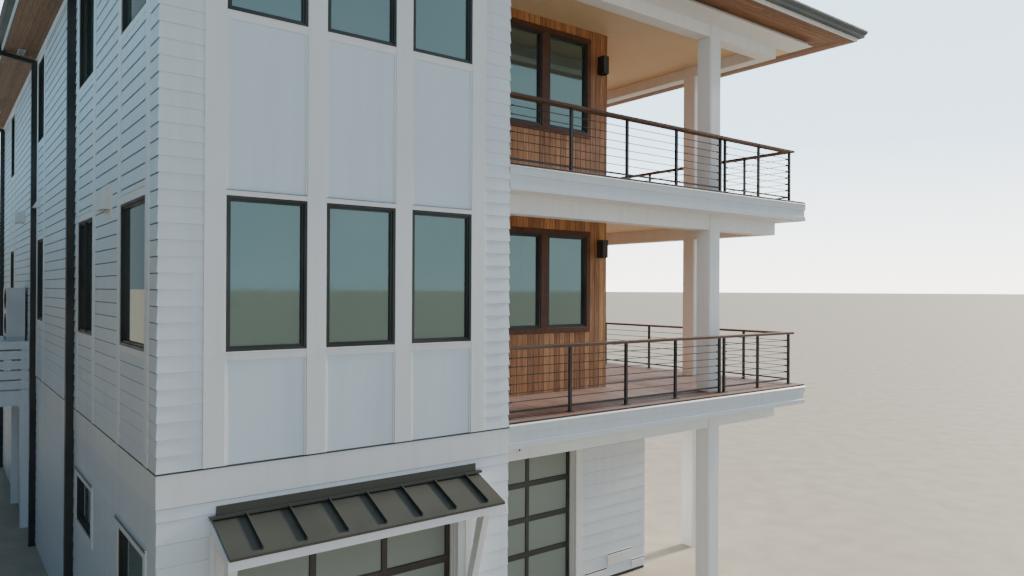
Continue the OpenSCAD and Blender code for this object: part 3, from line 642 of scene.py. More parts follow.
class Effects:
    """Builds the shared effects on first use and hands them out."""

    made: dict[Effect, Tree] = {}

    @classmethod
    def group(cls, effect: Effect) -> Tree:
        """Gives an effect's node group.

        Args:
            effect: The effect.

        Returns:
            Its node group.
        """
        if effect not in cls.made:
            builders = {
                Effect.GRAIN: cls.grain, Effect.WEATHER: cls.weather, Effect.BRUSHED: cls.brushed,
            }
            cls.made[effect] = builders[effect]()
        return cls.made[effect]

    @staticmethod
    def start(
        effect: Effect, inputs: dict[str, tuple[str, object]], outputs: Sequence[str],
    ) -> tuple[Graph, Outputs, Inputs]:
        """Starts a node group with its sockets.

        Args:
            effect: The effect, whose value is the group's name.
            inputs: Each input's socket type and default value, by name.
            outputs: Names of the value outputs.

        Returns:
            The graph, the sockets that bring its inputs and those that take its outputs.
        """
        tree = bpy.data.node_groups.new(effect.value, "ShaderNodeTree")
        for name, (kind, default) in inputs.items():
            socket = tree.interface.new_socket(name, in_out="INPUT", socket_type=kind)
            socket.default_value = default
        for name in outputs:
            tree.interface.new_socket(name, in_out="OUTPUT", socket_type="NodeSocketFloat")
        graph = Graph(tree)
        return graph, graph.add("NodeGroupInput").outputs, graph.add("NodeGroupOutput").inputs

    @classmethod
    def grain(cls) -> Tree:
        """Makes long wood grain that differs from board to board, with rings and pores."""
        graph, given, put = cls.start(
            Effect.GRAIN,
            {"Stretch": ("NodeSocketVector", (14.0, 14.0, 0.7)), "Board": ("NodeSocketFloat", 0.0)},
            ("Rings", "Streaks", "Pores"),
        )
        scaled = graph.add("ShaderNodeVectorMath", operation="MULTIPLY")
        graph.wire(graph.add("ShaderNodeTexCoord").outputs["Object"], scaled.inputs[0])
        graph.wire(given["Stretch"], scaled.inputs[1])
        shift = graph.add("ShaderNodeCombineXYZ")
        for axis, factor in enumerate((37.0, 91.0, 53.0)):
            graph.wire(graph.maths("MULTIPLY", given["Board"], factor), shift.inputs[axis])
        moved = graph.add("ShaderNodeVectorMath", operation="ADD")
        graph.wire(scaled.outputs[0], moved.inputs[0])
        graph.wire(shift.outputs[0], moved.inputs[1])
        at = moved.outputs[0]
        rings = graph.maths("FRACT", graph.maths("MULTIPLY", graph.noise(at, 0.6, 2.0, 0.4), 9.0))
        smooth = graph.maths("ABSOLUTE", graph.maths("SUBTRACT", rings, 0.5))
        graph.wire(graph.remap(smooth, 0.0, 0.5), put["Rings"])
        graph.wire(graph.remap(graph.noise(at, 1.9, 4.0), 0.32, 0.68), put["Streaks"])
        graph.wire(graph.remap(graph.noise(at, 11.0, 2.0), 0.4, 0.62), put["Pores"])
        return graph.tree

    @classmethod
    def weather(cls) -> Tree:
        """Makes broad clouds, rain streaks down the walls and fine specks."""
        graph, given, put = cls.start(
            Effect.WEATHER, {"Size": ("NodeSocketFloat", 1.0)}, ("Clouds", "Streaks", "Specks"),
        )
        at = graph.coordinates(given["Size"])
        drawn = graph.add("ShaderNodeMapping", {"Vector": at, "Scale": (9.0, 9.0, 0.45)}).outputs[0]
        graph.wire(graph.remap(graph.noise(at, 0.8, 4.0), 0.3, 0.7), put["Clouds"])
        graph.wire(graph.remap(graph.noise(drawn, 1.0, 4.0), 0.45, 0.8), put["Streaks"])
        graph.wire(graph.remap(graph.noise(at, 60.0, 2.0), 0.55, 0.75), put["Specks"])
        return graph.tree

    @classmethod
    def brushed(cls) -> Tree:
        """Makes the faint waves and orange peel of coated sheet metal."""
        graph, given, put = cls.start(
            Effect.BRUSHED, {"Size": ("NodeSocketFloat", 1.0)}, ("Waves", "Peel"),
        )
        at = graph.coordinates(given["Size"])
        graph.wire(graph.remap(graph.noise(at, 2.2, 2.0), 0.3, 0.7), put["Waves"])
        graph.wire(graph.noise(at, 420.0, 1.0), put["Peel"])
        return graph.tree


@dataclass(frozen=True)
class Finish:
    """What every finish has: a name, the record's slot that it belongs to, and its colour."""

    name: str
    slot: str
    colour: Colour

    def material(self) -> bpy.types.Material:
        """Gives the finish's material, which is made on first use.

        Returns:
            The material.
        """
        found = bpy.data.materials.get("finish_" + self.name)
        if found:
            return found
        made = bpy.data.materials.new("finish_" + self.name)
        made.use_nodes = True
        made.diffuse_color = self.colour
        graph = Graph(made.node_tree)
        shader = next(n for n in made.node_tree.nodes if n.type == "BSDF_PRINCIPLED")
        self.dress(graph, shader)
        return made

    def effect(self, graph: Graph, effect: Effect, **given: object) -> Outputs:
        """Places a shared effect in the material.

        Args:
            graph: The material's graph.
            effect: The effect.
            **given: Values or sockets for its inputs.

        Returns:
            The group node's outputs.
        """
        return graph.add("ShaderNodeGroup", given, node_tree=Effects.group(effect)).outputs

    def dress(self, graph: Graph, shader: Node) -> None:
        """Wires the material's look into its shader.

        Args:
            graph: The material's graph.
            shader: Its Principled shader.
        """
        graph.wire(self.colour, shader.inputs["Base Color"])


@dataclass(frozen=True)
class Paint(Finish):
    """Paint on boards: even, with faint grain, rain streaks and a little dust."""

    roughness: float = 0.5
    dust: Colour = (0.35, 0.33, 0.3, 1.0)
    grime: float = 0.12
    relief: float = 0.1
    stretch: Vec = (60.0, 60.0, 60.0)

    def dress(self, graph: Graph, shader: Node) -> None:
        """Wires colour, roughness and relief.

        Args:
            graph: The material's graph.
            shader: Its Principled shader.
        """
        board = graph.add("ShaderNodeAttribute", attribute_name="tone").outputs["Fac"]
        weather = self.effect(graph, Effect.WEATHER, Size=1.0)
        grain = self.effect(graph, Effect.GRAIN, Stretch=self.stretch, Board=board)
        even = graph.mix(board, self.colour, shade(self.colour, 0.9))
        clouded = graph.blend(weather["Clouds"], 0.35, even, shade(self.colour, 0.93))
        graph.blend(weather["Streaks"], self.grime, clouded, self.dust, shader.inputs["Base Color"])
        graph.roughen(weather["Clouds"], self.roughness, 0.14, shader)
        graph.relief(grain["Streaks"], self.relief, 0.002, shader)


@dataclass(frozen=True)
class Wood(Finish):
    """Oiled or weathered wood whose boards differ in shade, with rings, streaks and pores."""

    dark: Colour = (0.1, 0.05, 0.02, 1.0)
    light: Colour = (0.5, 0.3, 0.15, 1.0)
    worn: Colour = (0.3, 0.28, 0.26, 1.0)
    wear: float = 0.2
    roughness: float = 0.5
    relief: float = 0.3
    stretch: Vec = (14.0, 14.0, 0.7)

    def dress(self, graph: Graph, shader: Node) -> None:
        """Wires colour, roughness and relief.

        Args:
            graph: The material's graph.
            shader: Its Principled shader.
        """
        board = graph.add("ShaderNodeAttribute", attribute_name="tone").outputs["Fac"]
        grain = self.effect(graph, Effect.GRAIN, Stretch=self.stretch, Board=board)
        weather = self.effect(graph, Effect.WEATHER, Size=1.0)
        body = graph.ramp(board, ((0.0, self.dark), (0.5, self.colour), (1.0, self.light)))
        streaked = graph.blend(grain["Streaks"], 0.55, body, self.light)
        ringed = graph.blend(grain["Rings"], 0.45, streaked, self.dark)
        pored = graph.blend(grain["Pores"], 0.3, ringed, self.dark)
        graph.blend(weather["Clouds"], self.wear, pored, self.worn, shader.inputs["Base Color"])
        graph.roughen(grain["Pores"], self.roughness, 0.2, shader)
        height = graph.maths("SUBTRACT", grain["Streaks"], graph.maths("MULTIPLY", grain["Pores"], 0.6))
        graph.relief(height, self.relief, 0.0015, shader)


@dataclass(frozen=True)
class Metal(Finish):
    """Coated or bare sheet metal with faint waves, dust and a fine peel."""

    metallic: float = 0.0
    roughness: float = 0.4
    coat: float = 0.0
    dust: Colour = (0.3, 0.3, 0.28, 1.0)
    grime: float = 0.12
    relief: float = 0.05

    def dress(self, graph: Graph, shader: Node) -> None:
        """Wires colour, roughness and relief.

        Args:
            graph: The material's graph.
            shader: Its Principled shader.
        """
        sheet = self.effect(graph, Effect.BRUSHED, Size=1.0)
        weather = self.effect(graph, Effect.WEATHER, Size=1.6)
        toned = graph.blend(sheet["Waves"], 0.5, self.colour, shade(self.colour, 1.35))
        graph.blend(weather["Clouds"], self.grime, toned, self.dust, shader.inputs["Base Color"])
        graph.roughen(sheet["Waves"], self.roughness, 0.12, shader)
        graph.relief(sheet["Peel"], self.relief, 0.001, shader)
        shader.inputs["Metallic"].default_value = self.metallic
        shader.inputs["Coat Weight"].default_value = self.coat


@dataclass(frozen=True)
class Glass(Finish):
    """Coated window glass or frosted door glass, with faint smears."""

    roughness: float = 0.03
    smear: float = 0.04
    metallic: float = 0.4
    clear: float = 0.6
    index: float = 1.6

    def dress(self, graph: Graph, shader: Node) -> None:
        """Wires colour and roughness.

        Args:
            graph: The material's graph.
            shader: Its Principled shader.
        """
        weather = self.effect(graph, Effect.WEATHER, Size=1.2)
        graph.blend(weather["Clouds"], 0.4, self.colour, shade(self.colour, 0.8), shader.inputs["Base Color"])
        graph.roughen(weather["Streaks"], self.roughness, self.smear, shader)
        shader.inputs["Metallic"].default_value = self.metallic
        shader.inputs["Transmission Weight"].default_value = self.clear
        shader.inputs["IOR"].default_value = self.index


@dataclass(frozen=True)
class Mineral(Finish):
    """Concrete or render: mottled, with fine sand."""

    roughness: float = 0.8

    def dress(self, graph: Graph, shader: Node) -> None:
        """Wires colour, roughness and relief.

        Args:
            graph: The material's graph.
            shader: Its Principled shader.
        """
        weather = self.effect(graph, Effect.WEATHER, Size=2.0)
        toned = graph.mix(weather["Clouds"], self.colour, shade(self.colour, 0.8))
        graph.blend(weather["Specks"], 0.4, toned, shade(self.colour, 0.55), shader.inputs["Base Color"])
        graph.roughen(weather["Specks"], self.roughness, 0.1, shader)
        graph.relief(weather["Specks"], 0.3, 0.002, shader)


GRAIN_X: Vec = (0.8, 15.0, 15.0)
GRAIN_Y: Vec = (15.0, 0.8, 15.0)
SIDING = Paint("siding_white", "white_siding", linear(222, 231, 238), roughness=0.45, relief=0.22,
               stretch=(3.0, 3.0, 90.0))
TRIM = Paint("trim_white", "white_trim", linear(229, 232, 234), roughness=0.42)
FASCIA = Paint("fascia_white", "white_trim", linear(214, 222, 227), roughness=0.45)
PANEL = Paint("panel_white", "white_siding", linear(216, 231, 240), roughness=0.5)
# Dark strips painted as shade lines under the siding's laps.
LAP_SHADE_LINE = Paint("lap_painted_shade", "white_siding", linear(92, 100, 104), roughness=0.7, grime=0.3)
CEILING = Paint("ceiling_cream", "ceiling_paint", linear(226, 202, 164), roughness=0.5, grime=0.05,
                stretch=(40.0, 2.0, 40.0))
BRONZE = Metal("dark_bronze", "bronze_metal", linear(30, 34, 32), roughness=0.38)
RAIL_BLACK = Metal("rail_black", "rail_metal", linear(15, 16, 16), roughness=0.45)
DOOR = Metal("door_bronze", "bronze_metal", linear(46, 40, 34), roughness=0.4)
CABLE = Metal("cable_steel", "cable_metal", linear(34, 34, 33), metallic=0.3, roughness=0.4)
AWNING = Metal("awning_sheet", "awning_metal", linear(58, 60, 54), roughness=0.38, coat=0.12, grime=0.02)
ROOFING = Metal("roof_sheet", "roof_metal", linear(78, 82, 84), roughness=0.42, grime=0.2)
GUTTER = Metal("gutter_bronze", "bronze_metal", linear(50, 57, 57), roughness=0.4, coat=0.1)
# Black for the lamp bodies, also used as painted shade on the flood vents and at the recess wall's foot.
LAMP_AND_SHADE_BLACK = Metal("lamp_and_shade_black", "light_metal", linear(22, 22, 22), roughness=0.45)
CASE = Metal("condenser_case", "condenser_metal", linear(196, 200, 202), roughness=0.4, grime=0.18)
HOOD = Paint("hood_white", "hood_plastic", linear(228, 228, 226), roughness=0.38, grime=0.18)
# Dark metal for the flashings, also used as painted shade lines in the ground windows' head mouldings.
FLASHING_AND_SHADE_LINES = Metal("dark_flashing_and_shade_lines", "bronze_metal", linear(48, 54, 56), roughness=0.45)
CEDAR = Wood(
    "cedar_boards", "cedar_boards", linear(186, 122, 74), dark=linear(122, 72, 42), light=linear(228, 174, 120),
    worn=linear(168, 132, 104), wear=0.25, stretch=(16.0, 16.0, 0.8))
CASING = Wood(
    "cedar_casing", "cedar_boards", linear(90, 50, 30), dark=linear(60, 32, 20), light=linear(118, 68, 42),
    worn=linear(96, 64, 46), wear=0.2, stretch=(9.0, 9.0, 3.0))
DECK_Y = Wood(
    "deck_boards", "deck_wood", linear(112, 78, 66), dark=linear(74, 50, 44), light=linear(140, 102, 88),
    worn=linear(122, 114, 114), wear=0.5, roughness=0.66, stretch=GRAIN_Y)
DECK_X = replace(
    DECK_Y, name="deck_border", colour=linear(106, 74, 62), light=linear(134, 98, 84), stretch=GRAIN_X)
RAIL_WOOD_X = Wood(
    "rail_wood_front", "rail_wood", linear(94, 64, 46), dark=linear(60, 38, 28), light=linear(124, 88, 66),
    worn=linear(124, 106, 90), wear=0.4, roughness=0.72, stretch=GRAIN_X)
RAIL_WOOD_Y = replace(RAIL_WOOD_X, name="rail_wood_side", stretch=GRAIN_Y)
SOFFIT_X = Wood(
    "soffit_front", "soffit_wood", linear(138, 92, 60), dark=linear(98, 60, 38), light=linear(170, 122, 84),
    worn=linear(130, 104, 80), wear=0.3, stretch=GRAIN_X)
SOFFIT_Y = replace(SOFFIT_X, name="soffit_side", stretch=GRAIN_Y)
FRAMING = Wood(
    "bare_framing", "floor_structure", linear(176, 140, 98), dark=linear(140, 104, 70), light=linear(206, 176, 134),
    worn=linear(160, 140, 116), stretch=GRAIN_Y)
# Deck board edges: partly a darker stain, partly painted shade for the shadowed nosing.
EDGE_STAIN_AND_SHADE = Metal("board_edge_stain_and_shade", "deck_wood", linear(52, 36, 28), roughness=0.6)
CLEAR = Glass("window_glass", "clear_glass", linear(132, 155, 149), metallic=0.5)
FROSTED = Glass(
    "frosted_glass", "frosted_glass", linear(150, 162, 154), roughness=0.32, smear=0.1, metallic=0.0,
    clear=0.2, index=1.5)
CONCRETE = Mineral("slab_concrete", "concrete", linear(168, 166, 160))
PALE_FLOOR = Mineral("pale_floor", "concrete", linear(184, 176, 160))


@dataclass
class LapSiding:
    """Lap boards on the walls, mitred at the outside corners."""

    exposure: float = 0.1545
    butt: float = 0.017
    thin: float = 0.005
    board_l: float = 3.66
    stagger: float = 1.37
    shortest: float = 0.3
    joint: float = 0.002
    zero: float | None = None
    seed: int = 11

    def __post_init__(self) -> None:
        """Seeds the shades of the boards."""
        self.random = random.Random(self.seed)

    def lay(
        self, stock: Stock, wall: Wall, span: Flat, rise: Flat, holes: Sequence[Hole] = (),
        mitre: Flat = (0.0, 0.0), line: float = 0.0,
    ) -> None:
        """Lays courses of boards over an area of wall.

        Args:
            stock: Where the boards go.
            wall: The wall.
            span: The area's two ends along the wall.
            rise: Its bottom and top.
            holes: Areas to leave free, each as (u0, u1, v0, v1).
            mitre: 1 at an end that turns an outside corner, or else 0.
            line: Height of the dark strip painted as shade under each board's edge.
        """
        zero = rise[0] if self.zero is None else self.zero
        low, course = rise[0], math.floor((rise[0] - zero) / self.exposure + 0.01)
        while low < rise[1] - 0.01:
            foot = zero + course * self.exposure
            high = min(foot + self.exposure, rise[1])
            edges = {low, high}
            for hole in holes:
                if hole[0] < span[1] and hole[1] > span[0]:
                    edges.update(e for e in hole[2:] if low + 0.003 < e < high - 0.003)
            steps = sorted(edges)
            for bottom, top in zip(steps, steps[1:]):
                under = max(bottom, top - line)
                lower, near, far = (self.proud(v - foot) for v in (bottom, under, top))
                section = [(bottom, 0.0), (bottom, lower), (top, far), (top, 0.0)]
                # A thin dark strip at the top of each course, under the next board's edge, is painted shade standing
                # in for the shadow line of the lap.
                shade_line = [(under, near - 0.001), (under, near + 0.0007), (top, far + 0.0007), (top, far - 0.001)]
                for free in clear_spans(span, (bottom, top), holes):
                    for start, end in self.cut(free, course):
                        turn = (
                            mitre[0] if start == span[0] else 0.0,
                            mitre[1] if end == span[1] else 0.0,
                        )
                        stock.run(wall.value, section, (start, end), turn, self.random.random() * 0.5)
                        if line and top == high:
                            stock.run(wall.value, shade_line, (start, end), turn, 0.0, 1)
            low, course = high, course + 1

    def proud(self, above: float) -> float:
        """Gives how far a board stands out at a height above its lower edge."""
        return self.butt - (self.butt - self.thin) * above / self.exposure

    def cut(self, free: Flat, course: int) -> list[Flat]:
        """Cuts a stretch into boards of one length, with staggered joints.

        Args:
            free: The stretch's two ends.
            course: The course's number.

        Returns:
            The boards' ends.
        """
        shift = (course * self.stagger) % self.board_l
        boards, at = [], free[0]
        joint = math.floor((free[0] - shift) / self.board_l + 1) * self.board_l + shift
        while joint < free[1] - self.shortest:
            if joint > at + self.shortest:
                boards.append((at, joint - self.joint / 2))
                at = joint + self.joint / 2
            joint += self.board_l
        boards.append((at, free[1]))
        return boards


@dataclass
class WhiteWalls:
    """The white walls: lap siding, trim boards, the panelled front, belt, frieze and casings."""

    siding: LapSiding = field(default_factory=LapSiding)
    wide: LapSiding = field(default_factory=lambda: LapSiding(0.2113, 0.013, 0.005, zero=0.0014, seed=13))
    block: LapSiding = field(default_factory=lambda: LapSiding(0.2113, 0.012, 0.005, zero=0.094, seed=17))
    field_x: Flat = (0.395, 3.68)
    frieze_z: Flat = (CEILING_Z - 0.04, CEILING_Z + 0.088)
    base_z: float = 0.05
    trim_w: float = 0.14
    trim_t: float = 0.024
    trim_ease: float = 0.002
    corner_w: float = 0.12
    panel_t: float = 0.008
    bead_w: float = 0.022
    apron_h: float = 0.085
    front_head_h: float = 0.052
    left_head_h: float = 0.08
    back_head_h: float = 0.06
    sill_h: float = 0.07
    sill_t: float = 0.022
    casing_w: float = 0.20
    casing_t: float = 0.026
    casing_ease: float = 0.003
    slim_w: float = 0.10
    back_windows: int = 3
    back_window_w: float = 1.2
    front_door: Flat = (0.665, 3.315)
    recess_door: Flat = (BLOCK_W + 0.11, BLOCK_W + 2.855)
    door_h: float = 2.44
    door_low: float = 0.01
    jamb_back: float = -0.125

    def build(self) -> None:
        """Builds every white wall's boards."""
        self.front()
        self.left()
        self.back()
        self.ground_walls()
        self.belt()
        self.frieze()

    def front(self) -> None:
        """Clads the front block: lap strips at both corners and a panelled field between them."""
        plane, top = Wall.FRONT.value, self.frieze_z[0]
        lap, panels, boards, drips = Stock(), Stock(), Stock(), Stock()
        depth, panel, lip = (0.0, self.trim_t), (0.0, self.panel_t), self.trim_t + 0.004
        for span, mitre in (((0.0, self.field_x[0]), (1.0, 0.0)), ((self.field_x[1], BLOCK_W), (0.0, 1.0))):
            self.siding.lay(lap, Wall.FRONT, span, (BELT_Z, top), mitre=mitre)
        edges = [self.field_x[0]] + [x for w in FRONT_WINDOWS for x in w] + [self.field_x[1]]
        for span in zip(edges[::2], edges[1::2]):
            boards.upright(plane, span, (BELT_Z, top), depth, self.trim_ease, 0.1)
        for span in FRONT_WINDOWS:
            below = BELT_Z
            for sill in FRONT_SILLS:
                foot, head = sill - self.apron_h, sill + WINDOW_H
                cap = head + self.front_head_h
                panels.upright(plane, span, (below, foot + 0.01), panel, 0.0, 0.4)
                for edge in (span[0], span[1] - self.bead_w):
                    boards.upright(
                        plane, (edge, edge + self.bead_w), (below, foot), (self.panel_t, 0.016), self.trim_ease, 0.2)
                boards.level(plane, span, (foot, sill), (0.0, 0.02), self.trim_ease, tone=0.1)
                boards.run(
                    plane, [(sill - 0.012, 0.0), (sill - 0.012, 0.028), (sill - 0.004, 0.032), (sill, 0.0)], span)
                boards.level(plane, span, (head, cap), depth, self.trim_ease, tone=0.1)
                drips.run(plane, [(cap, 0.0), (cap, lip), (cap + 0.003, lip), (cap + 0.004, 0.0)], span)
                below = cap + 0.004
            panels.upright(plane, span, (below, top), panel, 0.0, 0.4)
        lap.piece("front_lap_siding", [SIDING])
        panels.piece("front_panels", [PANEL])
        boards.piece("front_boards", [TRIM])
        drips.piece("front_head_flashings", [FLASHING_AND_SHADE_LINES])

    def left(self) -> None:
        """Clads the left wall, with trim boards that run full height beside its windows."""
        plane, top = Wall.LEFT.value, self.frieze_z[0]
        lap, boards, drips = Stock(), Stock(), Stock()
        holes = self.tall_windows(boards, plane, LEFT_WINDOWS, LEFT_SILLS, self.left_head_h, 0.005)
        for start, end in LEFT_WINDOWS:
            for sill in LEFT_SILLS:
                cap = sill + WINDOW_H + self.left_head_h
                drips.run(
                    plane, [(cap, 0.0), (cap, 0.04), (cap + 0.004, 0.044), (cap + 0.01, 0.042), (cap + 0.016, 0.0)],
                    (start - 0.01, end + 0.01))
        self.siding.lay(lap, Wall.LEFT, (0.0, HOUSE_L), (BELT_Z, top), holes, (1.0, 1.0), 0.011)
        low_holes = self.low_windows(boards, drips, Wall.LEFT, LEFT_LOW_WINDOWS)
        self.block.lay(
            lap, Wall.LEFT, (0.0, HOUSE_L), (self.base_z, BAND_LOW_Z), low_holes, (1.0, 1.0), 0.004)
        lap.piece("left_lap_siding", [SIDING, LAP_SHADE_LINE])
        boards.piece("left_trim_boards", [TRIM])
        drips.piece("left_head_flashings", [TRIM, FLASHING_AND_SHADE_LINES])

    def tall_windows(
        self, boards: Stock, plane: Plane, windows: Sequence[Flat], sills: Flat, head_h: float, gap: float,
    ) -> list[Hole]:
        """Trims windows that stand one above the other, between boards that run full height.

        Args:
            boards: Where the boards go.
            plane: The wall face.
            windows: The windows' two edges along the wall.
            sills: Heights of their sills.
            head_h: Height of the board over each window.
            gap: What the siding leaves free over that board.

        Returns:
            The areas that the siding leaves free.
        """
        holes = []
        for span in windows:
            for edge in (span[0] - self.trim_w, span[1]):
                holes.append((edge, edge + self.trim_w, 0.0, FULL_H))
                boards.upright(
                    plane, (edge, edge + self.trim_w), (BELT_Z, self.frieze_z[0]), (0.0, self.trim_t),
                    self.trim_ease, 0.1)
            for sill in sills:
                foot, head = sill - self.sill_h, sill + WINDOW_H
                holes.append((*span, foot, head + head_h + gap))
                boards.level(plane, span, (foot, sill), (0.0, self.sill_t), self.trim_ease, tone=0.1)
                boards.level(plane, span, (head, head + head_h), (0.0, self.trim_t), self.trim_ease)
        return holes

    def low_windows(self, boards: Stock, drips: Stock, wall: Wall, windows: Sequence[Flat]) -> list[Hole]:
        """Trims a ground wall's windows.

        Args:
            boards: Where the casings go.
            drips: Where the drip caps over them go, with thin dark strips painted as shade lines.
            wall: The wall.
            windows: The windows' two edges along the wall.

        Returns:
            The areas that the siding leaves free.
        """
        holes = []
        depth, foot, head = (0.0, self.casing_t), LOW_SILL_Z - 0.09, LOW_HEAD_Z + 0.06
        for start, end in windows:
            left, right = start - self.slim_w, end + self.slim_w
            holes.append((left, right, foot, LOW_HEAD_Z + 0.11))
            for edge in (left, end):
                boards.upright(wall.value, (edge, edge + self.slim_w), (foot, head), depth, self.casing_ease)
            for rise in ((LOW_HEAD_Z, head), (foot, LOW_SILL_Z)):
                boards.level(wall.value, (start, end), rise, depth, self.casing_ease)
            # Coat 1 gives two thin dark strips between the white mouldings: painted shade lines under the drips.
            for low, high, reach, coat in (
                (0.061, 0.077, 0.03, 0), (0.077, 0.081, 0.037, 1), (0.081, 0.1, 0.029, 0), (0.1, 0.104, 0.036, 1),
                (0.104, 0.109, 0.03, 0),
            ):
                drips.level(
                    wall.value, (left - 0.02, right + 0.02), (LOW_HEAD_Z + low, LOW_HEAD_Z + high),
                    (0.0, reach), 0.001, coat=coat)
        return holes

    def back(self) -> None:
        """Clads the back wall and the short return beside the front block."""
        plane, top, wide = Wall.BACK.value, self.frieze_z[0], self.back_window_w
        low, high = corners("upper_back_wall")
        gap = (high.x - low.x - self.back_windows * wide) / (self.back_windows + 1)
        starts = [gap + i * (wide + gap) for i in range(self.back_windows)]
        windows = [(start, start + wide) for start in starts]
        lap, boards, drips = Stock(), Stock(), Stock()
        holes = self.tall_windows(boards, plane, windows, WOOD_SILLS, self.back_head_h, 0.0)
        self.siding.lay(lap, Wall.BACK, (0.0, HOUSE_W), (BELT_Z, top), holes, (1.0, 0.0))
        low_holes = self.low_windows(boards, drips, Wall.BACK, windows)
        corner = (GROUND_W - self.corner_w, GROUND_W)
        low_holes.append((*corner, 0.0, FULL_H))
        boards.upright(plane, corner, (self.base_z, BAND_LOW_Z), (0.0, self.trim_t), self.trim_ease, 0.1)
        self.block.lay(lap, Wall.BACK, (0.0, GROUND_W), (self.base_z, BAND_LOW_Z), low_holes, (1.0, 0.0))
        self.siding.lay(lap, Wall.RETURN, (0.0, RECESS_D), (BELT_Z, CEILING_Z), mitre=(1.0, 0.0))
        lap.piece("back_lap_siding", [SIDING])
        boards.piece("back_trim_boards", [TRIM])
        drips.piece("back_head_flashings", [TRIM, FLASHING_AND_SHADE_LINES])

    def ground_walls(self) -> None:
        """Clads the ground level's front, recess, return and right walls around the garage doors."""
        lap, boards = Stock(), Stock()
        front, recess, right = Wall.FRONT.value, Wall.RECESS.value, Wall.GROUND_RIGHT
        depth, ease = (0.0, self.casing_t), self.casing_ease
        head, top = self.door_h + self.casing_w, FIRST_Z - FLOOR_T
        left, right_end = self.front_door[0] - self.casing_w, self.front_door[1] + self.slim_w
        holes = [(left, right_end, 0.0, head)]
        self.block.lay(lap, Wall.FRONT, (0.0, BLOCK_W), (self.base_z, BAND_LOW_Z), holes, (1.0, 1.0), 0.004)
        for span in ((left, self.front_door[0]), (self.front_door[1], right_end)):
            boards.upright(front, span, (self.door_low, head), depth, ease)
        boards.level(front, self.front_door, (self.door_h, head), depth, ease)
        right_end = self.recess_door[1] + self.corner_w
        holes = [(BLOCK_W, right_end, 0.0, top)]
        self.wide.lay(lap, Wall.RECESS, (BLOCK_W, GROUND_W), (self.base_z, top), holes, (0.0, 1.0), 0.005)
        for span in ((self.recess_door[1], right_end), (BLOCK_W, self.recess_door[0])):
            boards.upright(recess, span, (self.door_low, top), depth, ease)
        boards.level(recess, self.recess_door, (self.door_h, top), (0.0, 0.02), ease)
        corner = (HOUSE_L - self.corner_w, HOUSE_L + self.trim_t)
        boards.upright(right.value, corner, (self.base_z, top), (0.0, self.trim_t), self.trim_ease, 0.1)
        holes = [(corner[0], HOUSE_L, 0.0, FULL_H)]
        self.wide.lay(lap, right, (RECESS_D, HOUSE_L), (self.base_z, top), holes, (1.0, 0.0), 0.005)
        self.block.lay(lap, Wall.RETURN, (0.0, RECESS_D), (self.base_z, BAND_LOW_Z), mitre=(1.0, 0.0))
        for opening, plane in ((self.front_door, front), (self.recess_door, recess)):
            self.stops(boards, plane, opening)
        lap.piece("ground_lap_siding", [SIDING, LAP_SHADE_LINE])
        boards.piece("door_casings", [TRIM])

    def stops(self, boards: Stock, plane: Plane, door: Flat) -> None:
        """Lines a garage door's opening with jamb boards and stops.

        Args:
            boards: Where the boards go.
            plane: The wall face.
            door: The opening's two edges.
        """
        deep, mid, head = self.jamb_back, -0.085, self.door_h - 0.012
        for edge, inward in ((door[0], 1.0), (door[1], -1.0)):
            for reach, back, front in ((0.012, deep, self.casing_t), (0.03, deep, mid), (0.02, mid, -0.04)):
                low, high = sorted((edge, edge + inward * reach))
                boards.upright(plane, (low, high), (self.door_low, self.door_h), (back, front), 0.0015)
        boards.level(plane, door, (head, self.door_h), (deep, self.casing_t), 0.0015)
        boards.level(plane, door, (self.door_h - 0.03, head), (deep, mid), 0.0015)

    def belt(self) -> None:
        """Runs the smooth band and its dark flashing round the front, the left side and the back."""
        band, drip = Stock(), Stock()
        band_section = [
            (BAND_LOW_Z, 0.0), (BAND_LOW_Z, 0.012), (BAND_LOW_Z + 0.003, 0.015), (BELT_Z - 0.014, 0.015),
            (BELT_Z - 0.014, 0.0),
        ]
        drip_section = [
            (BELT_Z - 0.013, 0.0), (BELT_Z - 0.013, 0.015), (BELT_Z - 0.017, 0.018), (BELT_Z - 0.015, 0.021),
            (BELT_Z - 0.006, 0.02), (BELT_Z - 0.003, 0.004), (BELT_Z - 0.001, 0.0),
        ]
        for wall, span, mitre in (
            (Wall.FRONT, (0.0, BLOCK_W), (1.0, 1.0)), (Wall.LEFT, (0.0, HOUSE_L), (1.0, 1.0)),
            (Wall.BACK, (0.0, HOUSE_W), (1.0, 0.0)), (Wall.RETURN, (0.0, RECESS_D), (1.0, 0.0)),
        ):
            band.run(wall.value, band_section, span, mitre, 0.1)
            drip.run(wall.value, drip_section, span, mitre)
        band.piece("belt_band", [TRIM])
        drip.piece("belt_flashing", [FLASHING_AND_SHADE_LINES])

    def frieze(self) -> None:
        """Runs the frieze board under the eaves."""
        boards = Stock()
        for wall, span, mitre in (
            (Wall.FRONT, (0.0, BLOCK_W), (1.0, 0.0)), (Wall.LEFT, (0.0, HOUSE_L), (1.0, 1.0)),
            (Wall.BACK, (0.0, HOUSE_W), (1.0, 0.0)),
        ):
            boards.level(wall.value, span, self.frieze_z, (0.0, self.casing_t), self.casing_ease, mitre)
        boards.piece("frieze_boards", [TRIM])


